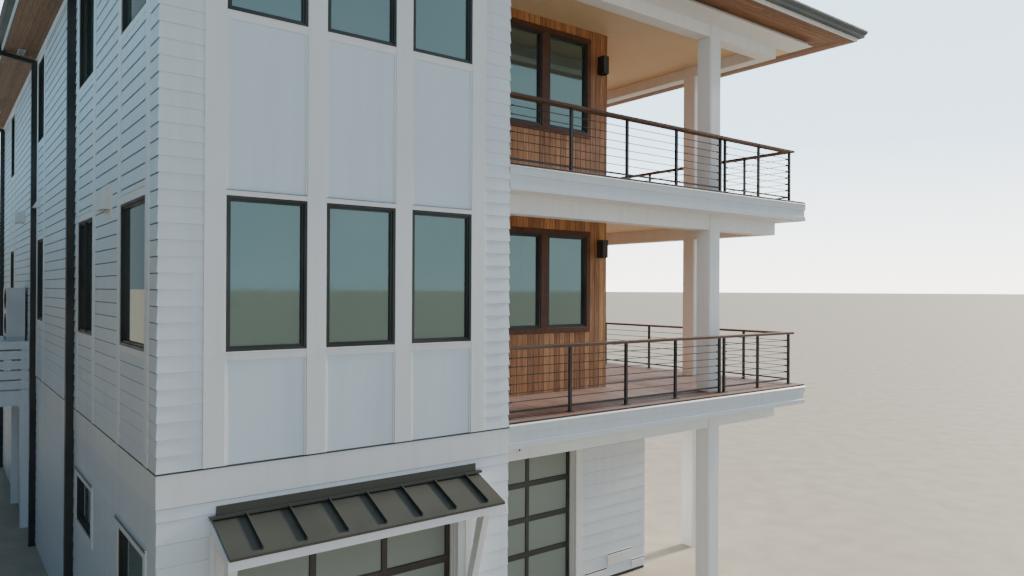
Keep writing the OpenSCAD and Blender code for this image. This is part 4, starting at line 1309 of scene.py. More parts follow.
@dataclass
class CedarWalls:
    """Vertical cedar boards behind the decks, with flat casings round the windows and doors."""

    pitch: float = 0.112
    gap: float = 0.005
    thick: float = 0.019
    ease: float = 0.003
    casing_w: float = 0.085
    casing_t: float = 0.03
    window_parts: Vec = (0.18, 0.6, 0.82)
    door_part: float = 0.38
    door_w: float = 2.4
    door_h: float = 2.286
    seed: int = 5

    def build(self) -> None:
        """Clads the recess wall and the upper right wall."""
        shades = random.Random(self.seed)
        boards, casings = Stock(), Stock()
        group = (WOOD_WINDOWS[0][0], WOOD_WINDOWS[1][1])
        door = (self.door_part * HOUSE_L, self.door_part * HOUSE_L + self.door_w)
        levels = ((FIRST_Z + 0.004, SECOND_Z - FLOOR_T), (SECOND_Z + 0.004, CEILING_Z))
        for (low, high), sill in zip(levels, WOOD_SILLS):
            rise = (sill, sill + WINDOW_H)
            holes = [self.frame(casings, Wall.RECESS, group, rise, WOOD_WINDOWS[0][1])]
            self.clad(boards, Wall.RECESS, (BLOCK_W, HOUSE_W), (low, high), holes, shades)
            holes = []
            for part in self.window_parts:
                start = part * HOUSE_L
                span = (start, start + 2 * WOOD_WINDOW_W + WOOD_MULLION_W)
                holes.append(self.frame(casings, Wall.RIGHT, span, rise, start + WOOD_WINDOW_W))
            holes.append(self.frame(casings, Wall.RIGHT, door, (low, low + self.door_h), None))
            self.clad(boards, Wall.RIGHT, (RECESS_D - self.thick, HOUSE_L), (low, high), holes, shades)
        boards.piece("cedar_cladding", [CEDAR])
        casings.piece("cedar_casings", [CASING])

    def frame(self, casings: Stock, wall: Wall, span: Flat, rise: Flat, post: float | None) -> Hole:
        """Frames an opening with flat boards.

        Args:
            casings: Where the boards go.
            wall: The wall.
            span: The opening's two edges.
            rise: Its bottom and top.
            post: Where the post between two windows starts, if there is one.

        Returns:
            The area that the cladding leaves free.
        """
        w, t = self.casing_w, self.casing_t
        plane = wall.value
        door = post is None
        casings.level(plane, (span[0] - w, span[1] + w), (rise[1], rise[1] + w), (0.0, t), self.ease, tone=0.3)
        bottom = rise[0] if door else rise[0] - w
        for low, tone in ((span[0] - w, 0.5), (span[1], 0.7)):
            casings.upright(plane, (low, low + w), (bottom, rise[1]), (0.0, t), self.ease, tone)
        if not door:
            casings.level(plane, span, (rise[0] - w, rise[0]), (0.0, t + 0.006), 0.004, tone=0.6)
            casings.upright(plane, (post, post + WOOD_MULLION_W), rise, (0.0, t - 0.004), self.ease, 0.4)
        return (span[0] - w, span[1] + w, bottom, rise[1] + w)

    def clad(
        self, boards: Stock, wall: Wall, span: Flat, rise: Flat, holes: Sequence[Hole],
        shades: random.Random,
    ) -> None:
        """Sets upright boards side by side over a wall.

        Args:
            boards: Where the boards go.
            wall: The wall.
            span: The area's two ends along the wall.
            rise: Its bottom and top.
            holes: Areas to leave free.
            shades: Source of the boards' shades.
        """
        at = span[0]
        while at < span[1] - 0.01:
            end = min(at + self.pitch, span[1])
            tone = shades.random()
            edges = {at, end}
            edges.update(e for h in holes for e in h[:2] if at + 0.004 < e < end - 0.004)
            steps = sorted(edges)
            for left, right in zip(steps, steps[1:]):
                middle = (left + right) / 2
                cuts = sorted((h[2], h[3]) for h in holes if h[0] < middle < h[1])
                low = rise[0]
                for bottom, top in cuts + [(rise[1], rise[1])]:
                    if bottom > low + 0.005:
                        gap = self.gap if right == end else 0.0
                        boards.upright(
                            wall.value, (left, right - gap), (low, bottom), (0.0, self.thick), self.ease, tone)
                    low = max(low, top)
            at = end


@dataclass
class Decks:
    """Deck boards with a border, and boarded ceilings under the decks and the roof."""

    board_w: float = 0.138
    gap: float = 0.006
    board_l: float = 4.9
    first_joint: float = 1.1
    stagger: float = 1.63
    shortest: float = 0.5
    end_gap: float = 0.003
    thick: float = 0.028
    ease: float = 0.003
    plank_w: float = 0.132
    plank_t: float = 0.006
    plank_gap: float = 0.0015
    wall_gap: float = 0.02
    nose: float = 0.006
    side_columns: int = 5
    first_column: float = 1.62
    wrap_inset: float = 0.019
    wrap_t: float = 0.004
    seed: int = 23

    def build(self) -> None:
        """Lays both decks and the ceilings, and wraps the columns."""
        shades = random.Random(self.seed)
        boards = Stock()
        border = self.board_w
        low_x, high_x = BLOCK_W + CLAD_T, DECK_RIGHT + self.nose
        low_y, high_y = DECK_FRONT - self.nose, DECK_BACK + self.nose
        inner_x = high_x - border - self.gap
        front, rear = low_y + border + self.gap, high_y - border - self.gap
        for level in (FIRST_Z, SECOND_Z):
            low = level - self.thick
            for start, end, axis in (
                ((low_x, low_y), (inner_x, low_y + border), 0),
                ((high_x - border, low_y), (high_x, high_y), 1),
                ((HOUSE_W + CLAD_T, high_y - border), (inner_x, high_y), 0),
            ):
                boards.bar((*start, low), (*end, level), axis, self.ease, shades.random(), 1 - axis)
            at, count = inner_x, 0
            while at > low_x + 0.02:
                left = max(at - self.board_w, low_x)
                back = RECESS_D - 0.03 if left < HOUSE_W + self.wall_gap else rear
                start = front
                joint = start + self.first_joint + (count * self.stagger) % self.board_l
                while start < back - 0.01:
                    end = joint if joint < back - self.shortest else back
                    boards.bar((left, start, low), (at, end - self.end_gap, level), 1, self.ease, shades.random(), 0)
                    start, joint = end + self.end_gap, joint + self.board_l
                at, count = left - self.gap, count + 1
        self.fascias(boards)
        boards.piece("deck_floor_boards", [DECK_Y, DECK_X, EDGE_STAIN_AND_SHADE], replaces=["deck_boards"])
        self.ceilings(shades)
        self.columns()

    def fascias(self, boards: Stock) -> None:
        """Runs each deck's fascia, with a sloped cap under the boards and a dark face on their edge, partly stain and
        partly painted shade.

        Args:
            boards: Where the dark edge face goes, partly stain and partly painted shade.
        """
        fascia = Stock()
        walls = (
            (Facing.FRONT.plane(y=DECK_FRONT), (BLOCK_W + CLAD_T, DECK_RIGHT), (0.0, 1.0)),
            (Facing.RIGHT.plane(DECK_RIGHT), (DECK_FRONT, DECK_BACK), (1.0, 1.0)),
            (Facing.BACK.plane(y=DECK_BACK), (HOUSE_W + CLAD_T, DECK_RIGHT), (0.0, 1.0)),
        )
        back = 0.0005 - FASCIA_T
        for level in (FIRST_Z, SECOND_Z):
            low, high = level - FLOOR_T, level - self.thick - 0.0005
            section = [
                (low, back), (low, 0.012), (low + 0.002, 0.014), (low + 0.072, 0.014), (low + 0.075, 0.011),
                (low + 0.075, 0.0), (high - 0.118, 0.0), (high - 0.118, 0.011), (high - 0.115, 0.014),
                (high - 0.022, 0.014), (high - 0.022, 0.028), (high - 0.019, 0.030), (high, 0.009), (high, back),
            ]
            # The boards' front edges get a dark face: partly stain, partly painted shade.
            dark_edge = eased((high + 0.002, level - 0.004), (0.0, 0.0075), 0.0)
            for plane, span, mitre in walls:
                fascia.run(plane, section, span, mitre, 0.1)
                boards.run(plane, dark_edge, span, mitre, 0.0, 2)
        fascia.piece("deck_fascia_boards", [FASCIA], replaces=["deck_fascia"])

    def ceilings(self, shades: random.Random) -> None:
        """Lines the undersides of the decks and of the roof over them.

        Args:
            shades: Source of the boards' shades.
        """
        planks, strips = Stock(), Stock()
        front, right, back = BEAM_LOW.y + 0.01, BEAM_HIGH.x - 0.01, BEAM_HIGH.y - 0.01
        left = BLOCK_W + self.wall_gap
        for level in (FIRST_Z - FLOOR_T, SECOND_Z - FLOOR_T, CEILING_Z):
            low = level - self.plank_t
            wall_x = GROUND_W if level < FIRST_Z else HOUSE_W
            at = left
            while at < right - 0.01:
                end = RECESS_D - 0.02 if at < wall_x + self.wall_gap else back
                planks.bar(
                    (at, front, low), (min(at + self.plank_w, right), end, level), 1, 0.0008,
                    shades.random() * 0.2)
                at += self.plank_w + self.plank_gap
            reach = 0.09 + FASCIA_T if level == CEILING_Z else -0.001
            edge = DECK_HIGH.x + reach
            strips.bar((left, DECK_LOW.y - reach, low), (edge, front - 0.002, level), 0, 0.001, 0.1)
            planks.bar((right + 0.002, front, low), (edge, DECK_HIGH.y, level), 1, 0.001, 0.1)
            strips.bar((wall_x + 0.03, back + 0.002, low), (right, DECK_HIGH.y, level), 0, 0.001, 0.1)
        planks.piece("ceiling_planks", [CEILING])
        strips.piece("ceiling_edge_boards", [TRIM])

    def columns(self) -> None:
        """Wraps the columns in boards that stop short of their corners."""
        boards = Stock()
        first_y, last_y = BEAM_LOW.y + self.first_column, COLUMN_HIGH.y - COLUMN_W
        pitch = (last_y - first_y) / (self.side_columns - 1)
        spots = [(COLUMN_LOW.x, COLUMN_LOW.y)]
        spots += [(COLUMN_HIGH.x - COLUMN_W, first_y + i * pitch) for i in range(self.side_columns)]
        levels = ((0.0, FIRST_Z - FLOOR_T), (FIRST_Z, SECOND_Z - FLOOR_T), (SECOND_Z, CEILING_Z))
        for x, y in spots:
            faces = (
                Facing.FRONT.plane(x, y), Facing.BACK.plane(x, y + COLUMN_W), Facing.LEFT.plane(x, y),
                Facing.RIGHT.plane(x + COLUMN_W, y),
            )
            for low, high in levels:
                for face in faces:
                    boards.upright(
                        face, (self.wrap_inset, COLUMN_W - self.wrap_inset), (low + 0.002, high), (0.0, self.wrap_t),
                        0.0015, 0.3)
        boards.piece("column_boards", [TRIM])


@dataclass
class TopRails:
    """Wood top rails on both decks, with eased edges, mitres and butt joints."""

    inset: float = 0.19
    width: float = 0.14
    thick: float = 0.038
    height: float = 0.93
    ease: float = 0.006
    board_l: float = 3.6
    shortest: float = 0.9
    joint: float = 0.003
    seed: int = 31

    def build(self) -> None:
        """Runs the top rails along the front, the right side and the back."""
        rails = Stock()
        half = self.width / 2
        deck_x = DECK_RIGHT - self.inset
        front_y, back_y = DECK_FRONT + self.inset, DECK_BACK - self.inset
        shades = random.Random(self.seed)
        for level in (FIRST_Z, SECOND_Z):
            top = level + self.height
            for plane, start in (
                (Facing.FRONT.plane(y=front_y + half), BLOCK_W + CLAD_T),
                (Facing.BACK.plane(y=back_y - half), HOUSE_W + 0.02),
            ):
                self.rail(rails, plane, (start, deck_x - half), top, (0.0, 1.0), 0, shades)
            plane = Facing.RIGHT.plane(deck_x - half)
            self.rail(rails, plane, (front_y + half, back_y - half), top, (1.0, 1.0), 1, shades)
        rails.piece("wood_top_rails", [RAIL_WOOD_X, RAIL_WOOD_Y], replaces=["top_rails"])

    def rail(
        self, rails: Stock, plane: Plane, span: Flat, top: float, mitre: Flat, coat: int,
        shades: random.Random,
    ) -> None:
        """Runs one side's rail in boards.

        Args:
            rails: Where the boards go.
            plane: A face along the rail's inner edge.
            span: The run's two ends along it.
            top: Height of the rail's top.
            mitre: 1 at a mitred end, or else 0.
            coat: Index of the finish.
            shades: Source of the boards' shades.
        """
        e, w, low = self.ease, self.width, top - self.thick
        bit = e * 0.3
        section = [
            (low, 0.0), (low, w), (top - e, w), (top - bit, w - bit), (top, w - e), (top, e), (top - bit, bit),
            (top - e, 0.0),
        ]
        at, last = span[0], False
        while not last:
            last = at + self.board_l > span[1] - self.shortest
            end = span[1] if last else at + self.board_l
            turn = (mitre[0] if at == span[0] else 0.0, mitre[1] if last else 0.0)
            rails.run(plane, section, (at, end if last else end - self.joint), turn, shades.random(), coat)
            at = end


@dataclass
class Eaves:
    """Boarded soffits with vents, and the seams and caps of the metal roof."""

    boards: int = 6
    board_l: float = 3.6
    stagger: float = 1.9
    groove: float = 0.004
    ease: float = 0.002
    thick: float = 0.008
    seam_pitch: float = 0.45
    seam_h: float = 0.036
    seam_w: float = 0.012
    seam_foot: float = 0.004
    pitch: float = 0.333
    cap_half: float = 0.075
    cap_h: float = 0.052
    vent_l: float = 0.36
    vent_w: float = 0.10
    vent_out: float = 0.30
    vent_rim: float = 0.012
    vent_proud: float = 0.007
    slats: int = 7
    seed: int = 41

    def build(self) -> None:
        """Boards the soffits and seams the roof."""
        self.soffits()
        self.roof()

    def soffits(self) -> None:
        """Runs the soffit boards along each eave, mitred at the corners, and sets the vents."""
        high = SOFFIT_LOW.z
        low = high - self.thick
        strips, vents = Stock(), Stock()
        shades = random.Random(self.seed)
        width = -SOFFIT_LOW.x / self.boards
        sides = (
            (Facing.FRONT.plane(), ROOF_W, 0), (Facing.BACK.plane(y=HOUSE_L), ROOF_W, 0),
            (Facing.LEFT.plane(), HOUSE_L, 1), (Facing.RIGHT.plane(ROOF_W), HOUSE_L, 1),
        )
        for plane, length, coat in sides:
            for i in range(self.boards):
                w0, w1 = i * width + self.groove / 2, (i + 1) * width - self.groove / 2
                section = [
                    (high, w0), (low + self.ease, w0), (low, w0 + self.ease), (low, w1 - self.ease),
                    (low + self.ease, w1), (high, w1),
                ]
                cuts = [0.0]
                at = 1.2 + (i * self.stagger) % self.board_l
                while at < length - 0.6:
                    cuts.append(at)
                    at += self.board_l
                cuts.append(length)
                for start, end in zip(cuts, cuts[1:]):
                    first, last = start == 0.0, end == length
                    strips.run(
                        plane, section, (start, end if last else end - 0.002), (float(first), float(last)),
                        shades.random(), coat)
        strips.piece("soffit_boards", [SOFFIT_X, SOFFIT_Y])
        for side, middles in ((1, (2.8, 7.9)), (2, (9.6, 15.9))):
            for middle in middles:
                self.vent(vents, sides[side][0], middle, low)
        vents.piece("soffit_vents", [TRIM, LAMP_AND_SHADE_BLACK])

    def vent(self, vents: Stock, plane: Plane, middle: float, low: float) -> None:
        """Sets one louvred vent in a soffit.

        Args:
            vents: Where the vent goes.
            plane: The eave's wall face.
            middle: The vent's middle along the eave.
            low: Height of the soffit boards' underside.
        """
        w0 = self.vent_out - self.vent_w / 2
        w1 = w0 + self.vent_w
        start, end = middle - self.vent_l / 2, middle + self.vent_l / 2
        rim, rise = self.vent_rim, (low - self.vent_proud, low)
        vents.level(plane, (start, end), (low - 0.002, low), (w0, w1), coat=1)
        for w in (w0 - 0.008, w1 - 0.004):
            vents.level(plane, (start - rim, end + rim), rise, (w, w + rim))
        for u in (start - rim, end):
            vents.level(plane, (u, u + rim), rise, (w0, w1))
        for k in range(1, self.slats):
            w = w0 + k * self.vent_w / self.slats
            vents.run(
                plane, [(low, w - 0.004), (low - 0.006, w - 0.002), (low - 0.006, w + 0.004), (low, w + 0.002)],
                (start, end))

    def roof(self) -> None:
        """Runs the seams up the four slopes and caps the hips and the ridge."""
        low, high = corners("roof")
        eave_z = SOFFIT_HIGH.z + 0.15
        half = (high.x - low.x) / 2
        seams = Stock()
        slopes = (
            (Facing.RIGHT.plane(low.x, low.y), high.y - low.y), (Facing.LEFT.plane(high.x, low.y), high.y - low.y),
            (Facing.BACK.plane(low.x, low.y), high.x - low.x), (Facing.FRONT.plane(low.x, high.y), high.x - low.x),
        )
        start, t = 0.012, self.seam_w / 2
        for plane, length in slopes:
            count = round(length / self.seam_pitch)
            for i in range(1, count):
                u = i * length / count
                end = min(half, u, length - u) - 0.03
                foot, head = eave_z + self.pitch * start, eave_z + self.pitch * end
                seams.skin([
                    [
                        plane.at(side, foot - self.seam_foot, start), plane.at(side, foot + self.seam_h, start + 0.01),
                        plane.at(side, head + self.seam_h, end), plane.at(side, head - self.seam_foot, end),
                    ]
                    for side in (u - t, u + t)
                ])
        self.caps(seams, low, high, eave_z, half)
        seams.piece("roof_seams", [ROOFING])

    def caps(self, seams: Stock, low: Vector, high: Vector, eave_z: float, half: float) -> None:
        """Caps the four hips and the ridge with folded strips.

        Args:
            seams: Where the caps go.
            low: The roof's lowest corner.
            high: The roof's highest corner.
            eave_z: Height of the roof's edge.
            half: Half the roof's width.
        """
        top = eave_z + half * self.pitch
        front = Vector((low.x + half, low.y + half, top))
        back = Vector((low.x + half, high.y - half, top))
        lines = [(front, back)]
        for x in (low.x, high.x):
            lines += [(Vector((x, low.y, eave_z)), front), (Vector((x, high.y, eave_z)), back)]
        for start, end in lines:
            ahead = (end - start).normalized()
            side = ahead.cross(Vector((0.0, 0.0, 1.0))).normalized() * self.cap_half
            flat = abs(ahead.z) < 0.01
            drop = self.cap_half * self.pitch * (1.0 if flat else 0.7071)
            edge, foot = Vector((0.0, 0.0, 0.042 - drop)), Vector((0.0, 0.0, -drop - 0.004))
            seams.skin([
                [
                    tuple(spot + offset)
                    for offset in (side + edge, Vector((0.0, 0.0, self.cap_h)), edge - side, foot - side, side + foot)
                ]
                for spot in (start + ahead * 0.05, end)
            ])


@dataclass
class Fittings:
    """Small fittings: lamp lenses, flood vents, the beam's eyelet, fan guards and a wall box."""

    lens_inset: float = 0.006
    lens_t: float = 0.006
    lamp_h: float = 0.3
    fan_heights: Flat = (0.275, 0.793)
    guard_r: float = 0.23
    guard_bulge: float = 0.012
    wire_r: float = 0.002
    wire_sides: int = 6
    guard_rings: int = 7
    ring_points: int = 32
    spokes: int = 12
    blades: int = 3

    def build(self) -> None:
        """Builds every small fitting."""
        self.lenses()
        self.flood_vents()
        self.fan_guards()
        self.wall_boxes()

    def lenses(self) -> None:
        """Sets a frosted lens in each end of both wall lights."""
        lenses = Stock()
        low, high = corners("wall_lights")
        y0, y1 = low.y + self.lens_inset, high.y - 0.026
        for bottom in (FIRST_Z + 2.215, SECOND_Z + 2.085):
            for z in (bottom + 0.035, bottom + self.lamp_h - 0.041):
                lenses.bar((low.x + self.lens_inset, y0, z), (high.x - self.lens_inset, y1, z + self.lens_t), 0, 0.001)
        lenses.piece("lamp_lenses", [FROSTED])

    def flood_vents(self) -> None:
        """Sets three flood vents low in the recess wall, each with a black strip painted as shadow at its top, and a
        black strip painted as the shadow along the wall's foot.
        """
        vents = Stock()
        plane = Wall.RECESS.value
        for start, end, top in ((7.634, 8.228, 0.444), (8.235, 8.575, 0.226), (7.09, 7.628, 0.214)):
            low = max(top - 0.21, 0.1)
            vents.level(plane, (start, end), (low, top), (0.0, 0.022), 0.003, tone=0.1)
            # Black strip at the top of each vent: painted shadow under its upper edge.
            vents.level(plane, (start + 0.006, end - 0.006), (top - 0.024, top - 0.006), (0.022, 0.0235), coat=1)
            vents.level(
                plane, (start + 0.008, end - 0.008), (low + 0.006, top - 0.03), (0.022, 0.028), 0.003, tone=0.2)
        # Black strip along the wall's foot: painted shadow where the wall meets the ground.
        vents.level(plane, (7.03, GROUND_W), (0.0, 0.07), (0.0, 0.004), coat=1)
        vents.piece("flood_vents", [TRIM, LAMP_AND_SHADE_BLACK])

    def fan_guards(self) -> None:
        """Covers the condenser's two fan openings with wire guards, and adds their blades."""
        low, high = corners("condenser")
        wires = Stock()
        y = low.y + 0.38 * (high.y - low.y)
        for height in self.fan_heights:
            hub = Vector((low.x, y, low.z + 0.08 + height))
            for ring in range(1, self.guard_rings + 1):
                radius = 0.03 * ring + 0.005
                turns = (2 * math.pi * k / self.ring_points for k in range(self.ring_points))
                path = [self.guard_point(hub, radius, turn, 0.006) for turn in turns]
                wires.tube(path, self.wire_r, self.wire_sides, closed=True)
            for k in range(self.spokes):
                turn = 2 * math.pi * k / self.spokes
                path = [self.guard_point(hub, radius, turn, 0.008) for radius in (0.03, 0.09, 0.15, 0.222)]
                wires.tube(path, self.wire_r, self.wire_sides)
            for k in range(self.blades):
                self.blade(wires, hub, 2 * math.pi * k / self.blades)
        wires.piece("fan_guards", [RAIL_BLACK], rounded=True)

    def guard_point(self, hub: Vector, radius: float, turn: float, proud: float) -> Vec:
        """Gives a point of the bulging guard over a fan.

        Args:
            hub: The middle of the fan, in the case's face.
            radius: The point's distance from the middle.
            turn: Its angle round the middle.
            proud: How far the guard's edge stands out of the case.

        Returns:
            The point in house metres.
        """
        bulge = self.guard_bulge * (1 - (radius / self.guard_r) ** 2)
        return (hub.x - proud - bulge, hub.y + radius * math.cos(turn), hub.z + radius * math.sin(turn))

    def blade(self, wires: Stock, hub: Vector, turn: float) -> None:
        """Adds one twisted fan blade behind the guard.

        Args:
            wires: Where the blade goes.
            hub: The middle of the fan, in the case's face.
            turn: The blade's angle round the middle.
        """
        half_t = Vector((0.002, 0.0, 0.0))
        rings = []
        for radius, twist, chord in ((0.05, 0.9, 0.05), (0.12, 0.6, 0.09), (0.2, 0.4, 0.12)):
            across = Vector((math.sin(twist), -math.sin(turn) * math.cos(twist), math.cos(turn) * math.cos(twist)))
            spot = hub + Vector((0.04, radius * math.cos(turn), radius * math.sin(turn)))
            rear, fore = spot - across * chord / 2, spot + across * chord / 2
            rings.append([tuple(rear + half_t), tuple(rear - half_t), tuple(fore - half_t), tuple(fore + half_t)])
        wires.skin(rings)

    def wall_boxes(self) -> None:
        """Adds the eyelet on the ground level beam, and the small box beside the front garage door."""
        bits = Stock()
        eye, out = (4.525, BEAM_LOW.y, 2.88), (0.0, -1.0, 0.0)
        bits.disc(eye, out, (0.045, 0.045, 0.032, 0.014), (0.0, 0.006, 0.012, 0.010), 24)
        bits.disc(eye, out, (0.014, 0.014), (0.008, 0.014), 16, 1)
        bits.level(Wall.FRONT.value, (3.94, 4.005), (2.25, 2.335), (0.0, 0.05), 0.006)
        for rise in ((2.262, 2.285), (2.3, 2.323)):
            bits.level(Wall.FRONT.value, (3.955, 3.99), rise, (0.05, 0.053), coat=1)
        bits.piece("wall_boxes", [TRIM, LAMP_AND_SHADE_BLACK], rounded=True)


class CarriedOver:
    """Solids of the frame that keep their shape and get a finish."""

    finishes: dict[str, Finish] = {
        "ground_floor_slab": CONCRETE, "ground_front_wall": TRIM, "ground_left_wall": TRIM,
        "ground_recess_wall": TRIM, "ground_right_wall": TRIM, "ground_back_wall": TRIM,
        "return_wall": TRIM, "front_garage_door": DOOR, "recess_garage_door": BRONZE,
        "garage_door_glass": FROSTED, "first_floor": TRIM, "second_floor": FRAMING,
        "upper_ceiling": CEILING, "upper_front_wall": TRIM, "upper_left_wall": TRIM,
        "wood_clad_wall": CASING, "upper_right_wall": CASING, "upper_back_wall": TRIM,
        "ground_window_frames": BRONZE, "first_window_frames": BRONZE,
        "second_window_frames": BRONZE, "deck_doors": BRONZE, "window_glass": CLEAR,
        "deck_frames": CEILING, "deck_boards": DECK_Y, "deck_fascia": TRIM, "deck_beams": TRIM,
        "columns": TRIM, "front_rail_posts": RAIL_BLACK, "side_rail_posts": RAIL_BLACK,
        "back_rail_posts": RAIL_BLACK, "front_rail_cables": CABLE, "side_rail_cables": CABLE,
        "back_rail_cables": CABLE, "top_rails": RAIL_WOOD_X, "awning_roof": AWNING,
        "awning_frame": TRIM, "roof": ROOFING, "fascia_boards": TRIM, "eave_soffit": SOFFIT_X,
        "gutters": GUTTER, "downspouts": BRONZE, "wall_lights": LAMP_AND_SHADE_BLACK, "vent_hoods": HOOD,
        "equipment_platform": TRIM, "condenser": CASE,
    }

    def build(self) -> None:
        """Gives every node of the frame its finish."""
        for name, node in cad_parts.items():
            node.data.materials.clear()
            node.data.materials.append(self.finishes[name].material())
            LOG.info("%s: %s", name, self.finishes[name].name)


@dataclass
class Studio:
    """Pale floor, soft light and the camera at the photograph's viewpoint."""

    eye: Vec = (-1.668, -7.45, 5.0)
    yaw: float = 37.81
    pitch: float = 0.15
    roll: float = -0.30
    focal_px: float = 752.0
    frame_px: float = 1024.0
    sensor: float = 36.0
    clip: Flat = (0.1, 7000.0)
    floor_r: float = 3000.0
    floor_low: float = 0.002
    rim_points: int = 96
    towards_sky: Flat = (0.866, 0.5)
    towards_light: Flat = (0.954, -0.3)
    towards_sun: Vec = (0.92, -0.02, 0.38)
    sun_power: float = 8.0
    sun_width: float = 8.0
    sun_colour: Vec = (1.0, 0.87, 0.70)
    towards_fill: Vec = (-0.96, -0.2, 0.06)
    fill_power: float = 1.1
    fill_width: float = 30.0
    fill_colour: Vec = (1.0, 0.94, 0.88)
    bank_at: Vec = (-6.0, 9.0, 8.3)
    bank_size: Flat = (28.0, 1.2)
    bank_power: float = 138.0
    bank_spread: float = 58.0
    bank_colour: Vec = (0.30, 0.72, 1.0)
    bank_facing: Vec = (-1.0, 0.0, 0.05)

    def build(self) -> None:
        """Builds the floor, the lights, the sky and the camera."""
        self.camera()
        self.floor()
        self.sky()
        self.sun("sun", self.towards_sun, self.sun_power, self.sun_width, self.sun_colour)
        self.bank()

    @staticmethod
    def place(name: str, data: bpy.types.ID) -> bpy.types.Object:
        """Puts a camera, a light or a mesh into the scene.

        Args:
            name: The new object's name.
            data: What it holds.

        Returns:
            The new object.
        """
        made = bpy.data.objects.new(name, data)
        bpy.context.scene.collection.objects.link(made)
        return made

    def camera(self) -> None:
        """Sets the camera at the photograph's viewpoint."""
        data = bpy.data.cameras.new("view")
        data.sensor_width = self.sensor
        data.lens = self.focal_px / self.frame_px * self.sensor
        data.clip_start, data.clip_end = self.clip
        made = self.place("view", data)
        yaw, pitch, roll = (math.radians(a) for a in (self.yaw, self.pitch, self.roll))
        ahead = Vector((math.sin(yaw) * math.cos(pitch), math.cos(yaw) * math.cos(pitch), math.sin(pitch)))
        right = Vector((math.cos(yaw), -math.sin(yaw), 0.0))
        down = ahead.cross(right)
        across = right * math.cos(roll) + down * math.sin(roll)
        below = down * math.cos(roll) - right * math.sin(roll)
        turn = Matrix((across, -below, -ahead)).transposed()
        made.matrix_world = Matrix.Translation(Vector(self.eye) + HOUSE) @ turn.to_4x4()
        bpy.context.scene.camera = made

    def floor(self) -> None:
        """Lays a wide round floor at the level of the ground."""
        mesh = bpy.data.meshes.new("studio_floor")
        turns = [2 * math.pi * k / self.rim_points for k in range(self.rim_points)]
        rim = [(self.floor_r * math.cos(t), self.floor_r * math.sin(t), -self.floor_low) for t in turns]
        mesh.from_pydata(rim, [], [tuple(range(self.rim_points))])
        made = self.place("studio_floor", mesh)
        mesh.materials.append(PALE_FLOOR.material())

    def sky(self) -> None:
        """Sets a sky that lights from the right, and a brighter backdrop that only the camera sees."""
        world = bpy.data.worlds.new("studio")
        world.use_nodes = True
        graph = Graph(world.node_tree)
        back = next(n for n in world.node_tree.nodes if n.type == "BACKGROUND")
        place = graph.add("ShaderNodeTexCoord").outputs["Generated"]
        height = graph.add("ShaderNodeSeparateXYZ", {"Vector": place}).outputs["Z"]
        wide = graph.ramp(self.facing(graph, place, self.towards_light), (
            (0.0, (0.07, 0.095, 0.115)), (0.25, (0.12, 0.157, 0.185)), (0.5, (0.46, 0.62, 0.78)),
            (0.75, (0.78, 0.97, 1.17)), (1.0, (0.95, 1.04, 1.10)),
        ))
        glow = graph.ramp(self.facing(graph, place, self.towards_sky), (
            (0.62, (0.0, 0.0, 0.0)), (0.8, (0.4, 0.44, 0.46)), (0.92, (1.1, 1.2, 1.26)), (1.0, (1.6, 1.66, 1.66)),
        ))
        zenith = graph.ramp(height, (
            (0.0, (1.04, 1.04, 1.04)), (0.3, (0.84, 0.88, 0.93)), (1.0, (0.42, 0.52, 0.62)),
        ))
        dimmed = graph.mix(1.0, wide, zenith, "MULTIPLY")
        backdrop = graph.ramp(height, (
            (0.0, (5.6, 5.3, 4.9)), (0.08, (4.0, 4.3, 4.4)), (0.18, (2.2, 3.0, 3.6)), (1.0, (1.2, 1.7, 2.3)),
        ))
        seen = graph.add("ShaderNodeLightPath").outputs["Is Camera Ray"]
        graph.wire(graph.mix(seen, graph.mix(1.0, dimmed, glow, "ADD"), backdrop), back.inputs["Color"])
        bpy.context.scene.world = world

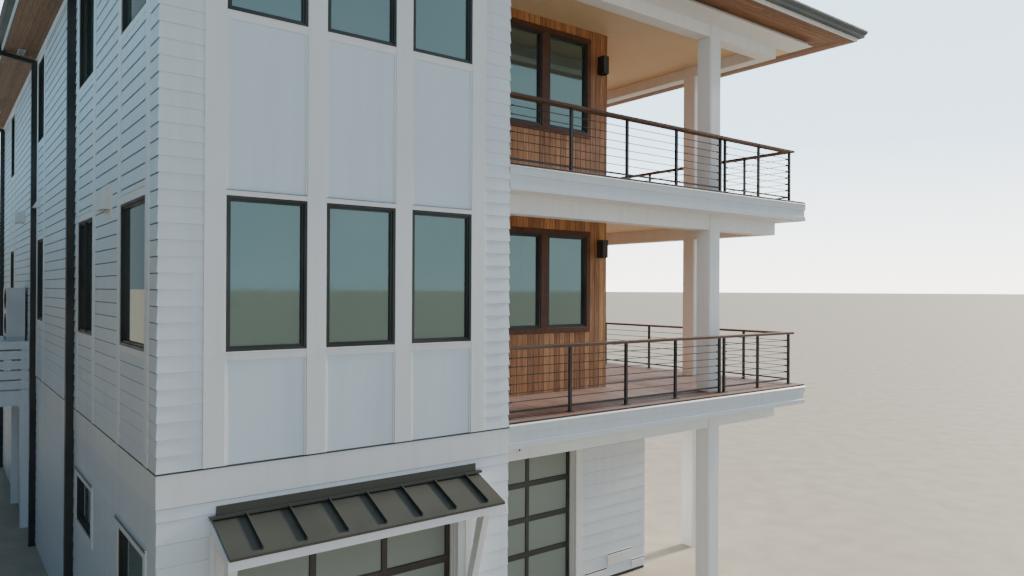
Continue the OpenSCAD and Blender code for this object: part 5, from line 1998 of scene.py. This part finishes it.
    def sun(self, name: str, towards: Vec, power: float, width: float, colour: Vec) -> bpy.types.Object:
        """Adds a sun.

        Args:
            name: The light's name.
            towards: The direction that it shines from.
            power: Its strength.
            width: Its angle in the sky, in degrees.
            colour: Its linear colour.

        Returns:
            The light's object.
        """
        data = bpy.data.lights.new(name, "SUN")
        data.energy, data.angle, data.color = power, math.radians(width), colour
        made = self.place(name, data)
        made.rotation_mode = "QUATERNION"
        made.rotation_quaternion = Vector(towards).to_track_quat("Z", "Y")
        return made

    def bank(self) -> None:
        """Hangs a long bluish bank of light beside the left wall's upper half."""
        data = bpy.data.lights.new("left_bank", "AREA")
        data.shape, data.size, data.size_y = "RECTANGLE", *self.bank_size
        data.energy, data.color, data.spread = self.bank_power, self.bank_colour, math.radians(self.bank_spread)
        made = self.place("left_bank", data)
        made.visible_camera = made.visible_glossy = False
        back = Vector(self.bank_facing).normalized()
        across = Vector((0.0, 1.0, 0.0))
        turn = Matrix((across, back.cross(across), back)).transposed()
        made.matrix_world = Matrix.Translation(Vector(self.bank_at) + HOUSE) @ turn.to_4x4()

    def fill(self) -> None:
        """Adds a soft fill from the left, for the columns and beams alone, once they stand."""
        made = self.sun("column_fill", self.towards_fill, self.fill_power, self.fill_width, self.fill_colour)
        chosen = bpy.data.collections.new("fill_receivers")
        for name in ("columns", "deck_beams", "column_boards"):
            chosen.objects.link(bpy.data.objects[name])
        made.light_linking.receiver_collection = chosen

    @staticmethod
    def facing(graph: Graph, place: Socket, towards: Flat) -> Socket:
        """Measures how far a direction points one way, from 0 for away to 1 for towards.

        Args:
            graph: The world's graph.
            place: The direction's socket.
            towards: The level direction to compare it with.

        Returns:
            The measure's socket.
        """
        dot = graph.add("ShaderNodeVectorMath", operation="DOT_PRODUCT")
        graph.wire(place, dot.inputs[0])
        graph.wire((*towards, 0.0), dot.inputs[1])
        return graph.remap(dot.outputs["Value"], -1.0, 1.0)


def main() -> None:
    """Builds the house's looks in order, from the camera to the small fittings."""
    logging.basicConfig(level=logging.INFO, format="%(message)s")
    studio = Studio()
    for assembly in (
        studio, CarriedOver(), WhiteWalls(), CedarWalls(), Decks(), TopRails(), Eaves(), Fittings(),
    ):
        assembly.build()
        LOG.info("built %s", type(assembly).__name__)
    studio.fill()


if __name__ == "__main__":
    main()
